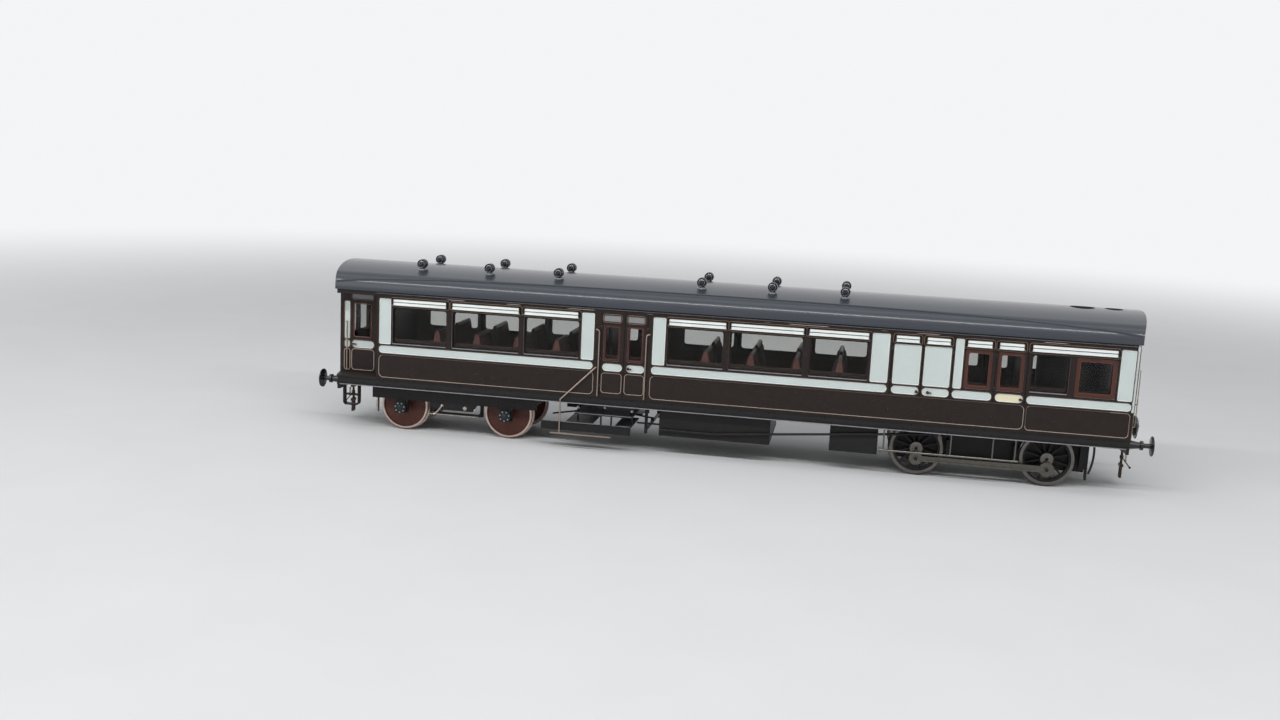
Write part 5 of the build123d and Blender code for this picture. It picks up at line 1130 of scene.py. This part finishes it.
# The near crank hangs down, and the far one is a quarter turn ahead
PINS = {-1: (0.0, -THROW), 1: (THROW, 0.0)}
for which, axle_x in DRIVE_AXLES.items():
    body = "driving_axle_" + which
    turned_piece("hub_faces_" + which, both_sides([(axle_x, HUB_Y, DRIVE_R)]),
                 [(0, 0), (0, 3.05), (0.14, 3.1), (0.2, 2.95), (0.14, 1.15), (0.1, 0)], 28,
                 GREY_STEEL, body, 30)
    turned_piece("axle_ends_" + which, both_sides([(axle_x, HUB_Y + 0.07, DRIVE_R)]),
                 [(0, 0), (0, 0.85), (0.25, 0.75), (0.3, 0)], 18, BLACK, body, 30)
    nuts = [(axle_x + dx, side * NUT_Y, DRIVE_R + dz, (0, side, 0)) for side, (dx, dz) in PINS.items()]
    heads("pin_nuts_" + which, nuts, (1.5, 1.35, 0.75, 6), GREY_STEEL, body)
for (side, (dx, dz)), side_name in zip(PINS.items(), ("near", "far")):
    cups = [(x + dx, side * ROD_Y, DRIVE_R + dz + CUP_HEIGHT, UP) for x in DRIVE_AXLES.values()]
    turned_piece("oil_cups_" + side_name, cups,
                 [(-0.5, 0), (-0.5, 0.7), (0.5, 0.7), (0.7, 0.45), (1.1, 0.45), (1.2, 0)], 14,
                 ROD_STEEL, "rod_" + side_name)
print("hubs", 2 * len(DRIVE_AXLES))

# %% [markdown]
# ## Steps and brake gear
# The wooden step boards carry a pale grey strip along their edges, a painted highlight, and three round
# knobs painted white as highlights stand on the folding gear. Between the trailing wheels a bright lever
# works the brake, with its pins and a tie bar. All are plain bars, prisms and turned shapes, so the helpers
# above are enough.

# %% Step edges, knobs and brake levers
STEP_LONG = (-88.6, -41.7)
STEP_KNOBS = [(-70.6, 23.1, 20.6), (-56.4, 23.1, 21.4), (-42.2, 23.1, 20.6)]
LEVER = [(-148.9, 10.3), (-148.4, 10.2), (-146.4, 11.6), (-144.6, 13.9), (-143.9, 15.3), (-144.4, 15.6),
         (-145.3, 14.2), (-147.0, 12.1)]
# Pins of the brake gear: X, height, radius
BRAKE_PINS = [(-148.5, 10.5, 0.7), (-144.1, 15.2, 0.75), (-131.6, 14.6, 1.05), (-126.0, 14.2, 0.6)]
bar_piece("step_boards", [(*STEP_LONG, 28.75, 29.35, 9.0, 12.95)], 0.12, BLACK)
# Painted highlight: a pale grey strip along the lit edge of each step
bar_piece("step_edges", [(x0 + 0.1, x1 - 0.1, 28.85, 29.35, z - 0.02, z + 0.16)
                         for x0, x1, z in ((-71.2, -41.0, 18.7), (*STEP_LONG, 13.5))],
          0.05, PALE_GREY_AND_HIGHLIGHT)
# Painted highlight: the knobs are painted white
turned_piece("step_knobs", both_sides(STEP_KNOBS), [(0, 0), (0, 0.5), (0.5, 0.5)] + dome(0.5, 0.7, 0.75), 14,
             HIGHLIGHT_WHITE)
shape = bmesh.new()
for side in SIDES:
    add_prism(shape, LEVER, side * PLATE_Y, side * (PLATE_Y + 0.5), 0.08)
    for x, z, radius in BRAKE_PINS:
        outline = [(0, 0), (0, radius), (0.5, radius)] + dome(0.5, 0.35, radius * 0.8)
        add_turned(shape, (x, side * (PLATE_Y - 0.05), z, (0, side, 0)), outline, 14)
add_shape("brake_levers", shape, STEEL, "trailing_bogie")
bar_piece("brake_tie_bars", [(-151.6, -124.6, PLATE_Y, PLATE_Y + 0.35, 10.15, 10.75)], 0.12, STEEL,
          "trailing_bogie", 40)
print("knobs", 2 * len(STEP_KNOBS), "brake pins", 2 * len(BRAKE_PINS))

# %% [markdown]
# ## Ends
# Both ends carry lamp irons and buffers with bolted bases, and the motor end has a pair of upright
# handrails and a gong with a boss in its middle. The photograph hides most of this, so it follows the type.
# A handrail is a bent wire, and a curve with a round bevel makes it in fewer steps than a mesh.

# %% Lamp irons, end handrails and buffer bolts
# End, distance across the coach, height
LAMP_IRONS = [
    (1, -17.5, 43.4), (1, 17.5, 43.4), (1, 0, 75.5), (-1, -14.0, 43.4), (-1, 14.0, 43.4), (-1, 0, 73.0)]
RAIL_BENDS = [(-0.2, 34.0), (0.9, 34.4), (0.9, 61.6), (-0.2, 62.0)]
RAIL_ACROSS = 26.4
BUFFER_Y = 19.8
BUFFER_Z = 24.2
BUFFER_BASE_X = 200.65


def bow_face(y):
    """How far the bowed face of an end stands from the middle of the coach."""
    return BOW_TIP - BOW_R + math.sqrt(BOW_R ** 2 - y * y)


def rod_mesh(name, paths, radius, paint):
    """Round rods along lines of points, made as one curve and turned into a plain mesh."""
    curve = bpy.data.curves.new(name, "CURVE")
    curve.dimensions = "3D"
    curve.bevel_depth = radius * MM
    curve.bevel_resolution = 3
    curve.use_fill_caps = True
    for path in paths:
        spline = curve.splines.new("POLY")
        spline.points.add(len(path) - 1)
        for point, place in zip(spline.points, path):
            point.co = (*at(*place), 1)
    mesh = settled(stand(name + "_holder", curve))
    mesh.materials.clear()
    mesh.materials.append(paint)
    mesh.polygons.foreach_set("use_smooth", [True] * len(mesh.polygons))
    return mesh


shape = bmesh.new()
for way, y, z in LAMP_IRONS:
    face = bow_face(y)
    add_bar(shape, way * (face - 0.1), way * (face + 1.2), y - 0.9, y + 0.9, z, z + 0.35, 0.1)
    add_bar(shape, way * (face + 0.85), way * (face + 1.2), y - 0.7, y + 0.7, z, z + 3.2, 0.1)
add_shape("lamp_irons", shape, BLACK_GLOSS, angle=30)
rails = [[(bow_face(RAIL_ACROSS) + out, side * RAIL_ACROSS, z) for out, z in RAIL_BENDS] for side in SIDES]
add_piece("end_handrails", rod_mesh("end_handrails", rails, 0.28, RAIL_METAL), "coach")
buffer_bolts = [(way * BUFFER_BASE_X, side * BUFFER_Y + dy, BUFFER_Z + dz, (way, 0, 0))
                for way in SIDES for side in SIDES for dy in (-3.4, 3.4) for dz in (-3.2, 3.2)]
heads("buffer_bolts", buffer_bolts, (0.42, 0.36, 0.4, 6), BLACK_GLOSS)
turned_piece("gong_boss", [(206.3, -14.0, 32.5, FRONT)], [(0, 0), (0, 0.9)] + dome(0, 0.8, 0.8), 14,
             RAIL_METAL)
print("irons", len(LAMP_IRONS), "end rails", len(rails), "buffer bolts", len(buffer_bolts))

# %% [markdown]
# The bowed ends are lined as the sides are. Their face is an arc in plan, where a flat outline would sink
# in or float. So each outline is first cut into short steps, and every point is pushed out to the arc
# before the strip follows it.

# %% Lining of the ends
STEP_MM = 1.5
# End, distance of the middle across the coach, width, bottom, top, radius; each stands on both sides
END_PANELS = [
    (1, 22.6, 7.9, 29.2, 41.0, 1.6), (1, 8.4, 15.3, 29.2, 41.0, 1.6), (-1, 9.8, 18.4, 30.2, 45.4, 1.7)]
END_WHITES = [(1, 12.9, 25.0, 41.7, 46.3, 2.2), (1, 24.9, 5.0, 46.5, 71.8, 1.1)]
END_WINDOWS = [(end, across, width, 47.4, 66.4, 1.2) for end, across, width in [
    (1, 14.6, 12.2), (1, 0, 12.6), (-1, 12.2, 10.0), (-1, 0, 10.0)]]


def bowed_loop(way, centre, width, low, top, radius, out):
    """A rounded outline on a bowed end: way is 1 at the motor end and -1 at the trailing end."""
    corners = rounded_loop(centre - width / 2, centre + width / 2, low, top, radius)
    points = []
    for (y0, z0), (y1, z1) in zip(corners, corners[1:] + corners[:1]):
        pieces = max(1, int(math.hypot(y1 - y0, z1 - z0) / STEP_MM))
        points += [(y0 + (y1 - y0) * step / pieces, z0 + (z1 - z0) * step / pieces) for step in range(pieces)]
    return [at(way * (bow_face(y) + out), y, z) for y, z in points]


def end_lining(name, panels, width, out, paint):
    """Lines on both ends, standing out from their faces."""
    runs = []
    for way in SIDES:
        loops = [bowed_loop(way, centre, *sizes, out) for end, across, *sizes in panels if end == way
                 for centre in sorted({across, -across})]
        if loops:
            runs.append(((way, 0, 0), loops))
    add_strips(name, runs, width, 0.12, paint)


end_lining("end_lining", END_PANELS, 0.3, 0.02, LINING)
end_lining("end_white_lines", END_WHITES, 0.2, 0.02, FINE_LINING)
end_lining("end_window_beads", END_WINDOWS, 0.55, 0.05, WORN_WOOD)
print("end outlines", len(END_PANELS) + len(END_WHITES) + len(END_WINDOWS))

# %% [markdown]
# The screw of each coupling is threaded. At this size a true helix looks the same as a stack of sharp
# rings, which is simpler and stays closed.

# %% Coupling threads
COUPLING_X = 205.4
THREADS_Z = row(11.0, 16.0, 14)
for body, way in (("coupling_left", -1), ("coupling_right", 1)):
    turned_piece(body + "_threads", [(way * COUPLING_X, 0, z - 0.1, UP) for z in THREADS_Z],
                 [(0, 0), (0, 0.5), (0.1, 0.66), (0.2, 0.5), (0.2, 0)], 12, STEEL, body)
print("threads", 2 * len(THREADS_Z))

# %% [markdown]
# ## Roof ventilators
# Each ventilator is a dark ball with a wide mouth at each side. A rolled ring stands round the mouth, a
# pale cone shows inside it, and a pressed collar seats it on the roof. All four are turned parts, and each
# kind is one piece, because it has one finish. The white nose and the pale collar are painted highlights.

# %% Ventilator rings, noses and collars
VENTS_X = [-159.4, -122.7, -85.6, -10.8, 25.1, 61.3]
VENT_Y = 14.6
VENT_Z = 88.6


def mouths(out):
    """A spot on both mouths of every ventilator, at a distance from its middle."""
    return [(x, side * VENT_Y + way * out, VENT_Z, (0, way, 0))
            for x in VENTS_X for side in SIDES for way in SIDES]


turned_piece("vent_rings", mouths(1.3), [(-0.3, 0), (-0.3, 2.2), (0.1, 2.42), (0.5, 2.4), (0.6, 2.15),
                                         (0.35, 1.75), (0.3, 0)], 20, BLACK_GLOSS)
turned_piece("vent_dishes", mouths(1.6), [(0, 0), (0, 1.8), (0.15, 1.75), (0.5, 1.1), (0.75, 0.5), (0.75, 0)],
             18, VENT_GREY)
nose = [(0, 0), (0.1, 0.62)] + dome(0, 0.5, 0.6)
# Painted highlight: the white nose in each mouth
turned_piece("vent_noses", mouths(2.3), nose, 12, HIGHLIGHT_WHITE)
# Painted highlight: the collars are painted pale grey
turned_piece("vent_collars", both_sides([(x, VENT_Y, 85.4) for x in VENTS_X], UP),
             [(0, 0), (0, 2.5), (0.45, 2.45), (0.7, 1.7), (1.0, 1.35), (1.0, 0)], 20, PALE_GREY_AND_HIGHLIGHT)
print("ventilators", 2 * len(VENTS_X))

# %% [markdown]
# Under the roof opening nearest the end stands a short black well, painted shade, so that no daylight
# shows past the end wall from above. It is a shallow dish, made like every other turned piece.

# %% Well under the end opening
WELL = (192.0, 0, 85.8, (0, 0, -1))
WELL_R = 4.9
# Painted shade: a black dish under the opening
turned_piece("shade_well", [WELL], [(1.0, 0), (1.0, 4.0), (0, 4.3), (0, WELL_R), (1.4, WELL_R), (1.4, 0)], 32,
             BLACK)
print("well", 2 * WELL_R, "mm wide")

# %% [markdown]
# ## Camera
# The photograph is taken from a little above the model and to the right of its middle, with a moderately
# wide lens and the camera slightly turned. A camera can be turned by hand until the view fits, but angles
# can be fitted by numbers, so its frame is worked out from a heading, a dip and a tilt.

# %% Camera
CAMERA_AT = Vector((0.06947, -0.65331, 0.15836))
YAW, PITCH, ROLL = -0.171, 0.170, 0.048
FOCAL_PIXELS, PICTURE_PIXELS = 1271.3, 1280
forward = Vector((math.sin(YAW) * math.cos(PITCH), math.cos(YAW) * math.cos(PITCH), -math.sin(PITCH)))
right = Vector((math.cos(YAW), -math.sin(YAW), 0))
down = forward.cross(right)
across = right * math.cos(ROLL) - down * math.sin(ROLL)
lower = right * math.sin(ROLL) + down * math.cos(ROLL)
camera_data = bpy.data.cameras.new("camera")
camera_data.sensor_width = 36.0
camera_data.lens = FOCAL_PIXELS / PICTURE_PIXELS * 36.0
camera_data.clip_start = 0.01
camera = stand("camera", camera_data)
turn = Matrix((across, -lower, -forward)).transposed().to_4x4()
camera.matrix_world = Matrix.Translation(CAMERA_AT) @ turn
bpy.context.scene.camera = camera
print("lens", round(camera_data.lens, 2))

# %% [markdown]
# ## Floor and background
# A photographer stands a model on a pale sweep of paper. More light would bleach the model, so the white
# comes from the floor and the world themselves: they glow only for rays that show them to the camera, a
# mirror or a pane. Near the model the floor is plain paint, which keeps its shadow.

# %% Floor and world
SEEN_WHITE = (0.90, 0.91, 0.92, 1)
SOFT_WHITE = (0.93, 0.94, 0.95, 1)
SOFT_LIGHT = 0.37
FLOOR_FADE = (450, 1500)


def shown_directly(tree):
    """1 for rays that show the background itself."""
    seen, mirrored, through = [tree.node("ShaderNodeLightPath", out=f"Is {kind} Ray")
                               for kind in ("Camera", "Glossy", "Transmission")]
    return tree.math("MAXIMUM", tree.math("MAXIMUM", seen, mirrored), through)


paper = Finish("studio_floor", rough=0.75, mirror=0.1)
x, y = paper.axis("X"), paper.axis("Y")
fade = paper.node("ShaderNodeMapRange", {"interpolation_type": "SMOOTHSTEP"}, {
    "Value": paper.math("SQRT", x * x + y * y), "From Min": FLOOR_FADE[0], "From Max": FLOOR_FADE[1]})
paper.set("Base Color", paper.blend(paper.noise(0.02, 2.0), rgb(214, 215, 216), rgb(220, 221, 222)))
glow = paper.node("ShaderNodeEmission", None, {0: SEEN_WHITE})
white_share = fade * shown_directly(paper)
paper.show(paper.node("ShaderNodeMixShader", None, {0: white_share, 1: paper.shader, 2: glow}))
floor_mesh = bpy.data.meshes.new("studio_floor")
floor_mesh.from_pydata([(-6, -4, 0), (6, -4, 0), (6, 8, 0), (-6, 8, 0)], [], [(0, 1, 2, 3)])
floor_mesh.materials.append(paper.material)
stand("studio_floor", floor_mesh)

world = bpy.data.worlds.new("studio")
bpy.context.scene.world = world
world.use_nodes = True
sky = Tree(world.node_tree)
sky.tree.nodes.clear()
soft_light = sky.node("ShaderNodeBackground", None, {0: SOFT_WHITE, 1: SOFT_LIGHT})
seen_wall = sky.node("ShaderNodeBackground", None, {0: SEEN_WHITE})
mixed = sky.node("ShaderNodeMixShader", None, {0: shown_directly(sky), 1: soft_light, 2: seen_wall})
sky.put(sky.tree.nodes.new("ShaderNodeOutputWorld").inputs[0], mixed)
print("floor fades out by", FLOOR_FADE[1], "mm")

# %% [markdown]
# ## Light
# The light in the photograph is soft and has hardly any direction. Broad lamps stand in for that sky: one
# above, one at the side, and a long narrow strip that draws the bright line along the roof's shoulder. A
# sun lamp would give hard shadows that the photograph doesn't show.

# %% Lamps
# Name, place, aim, width and height in metres, and power in watts
LAMPS = [
    ("top_softbox", (0.0, -0.2, 1.4), (0, 0, 0.05), (1.8, 0.5), 3.0),
    ("strip_softbox", (0.0, -0.76, 0.86), (0, -0.03, 0.08), (3.2, 0.09), 15.0),
    ("side_softbox", (-0.9, -1.1, 0.5), (0, 0, 0.04), (0.8, 0.6), 2.5),
]
for name, place, aim, size, power in LAMPS:
    lamp = bpy.data.lights.new(name, "AREA")
    lamp.shape = "RECTANGLE"
    lamp.size, lamp.size_y = size
    lamp.energy = power
    turn = (Vector(aim) - Vector(place)).to_track_quat("-Z", "Y").to_matrix().to_4x4()
    stand(name, lamp).matrix_world = Matrix.Translation(place) @ turn
bpy.context.scene.view_settings.view_transform = "Standard"
print("lamps", len(LAMPS))
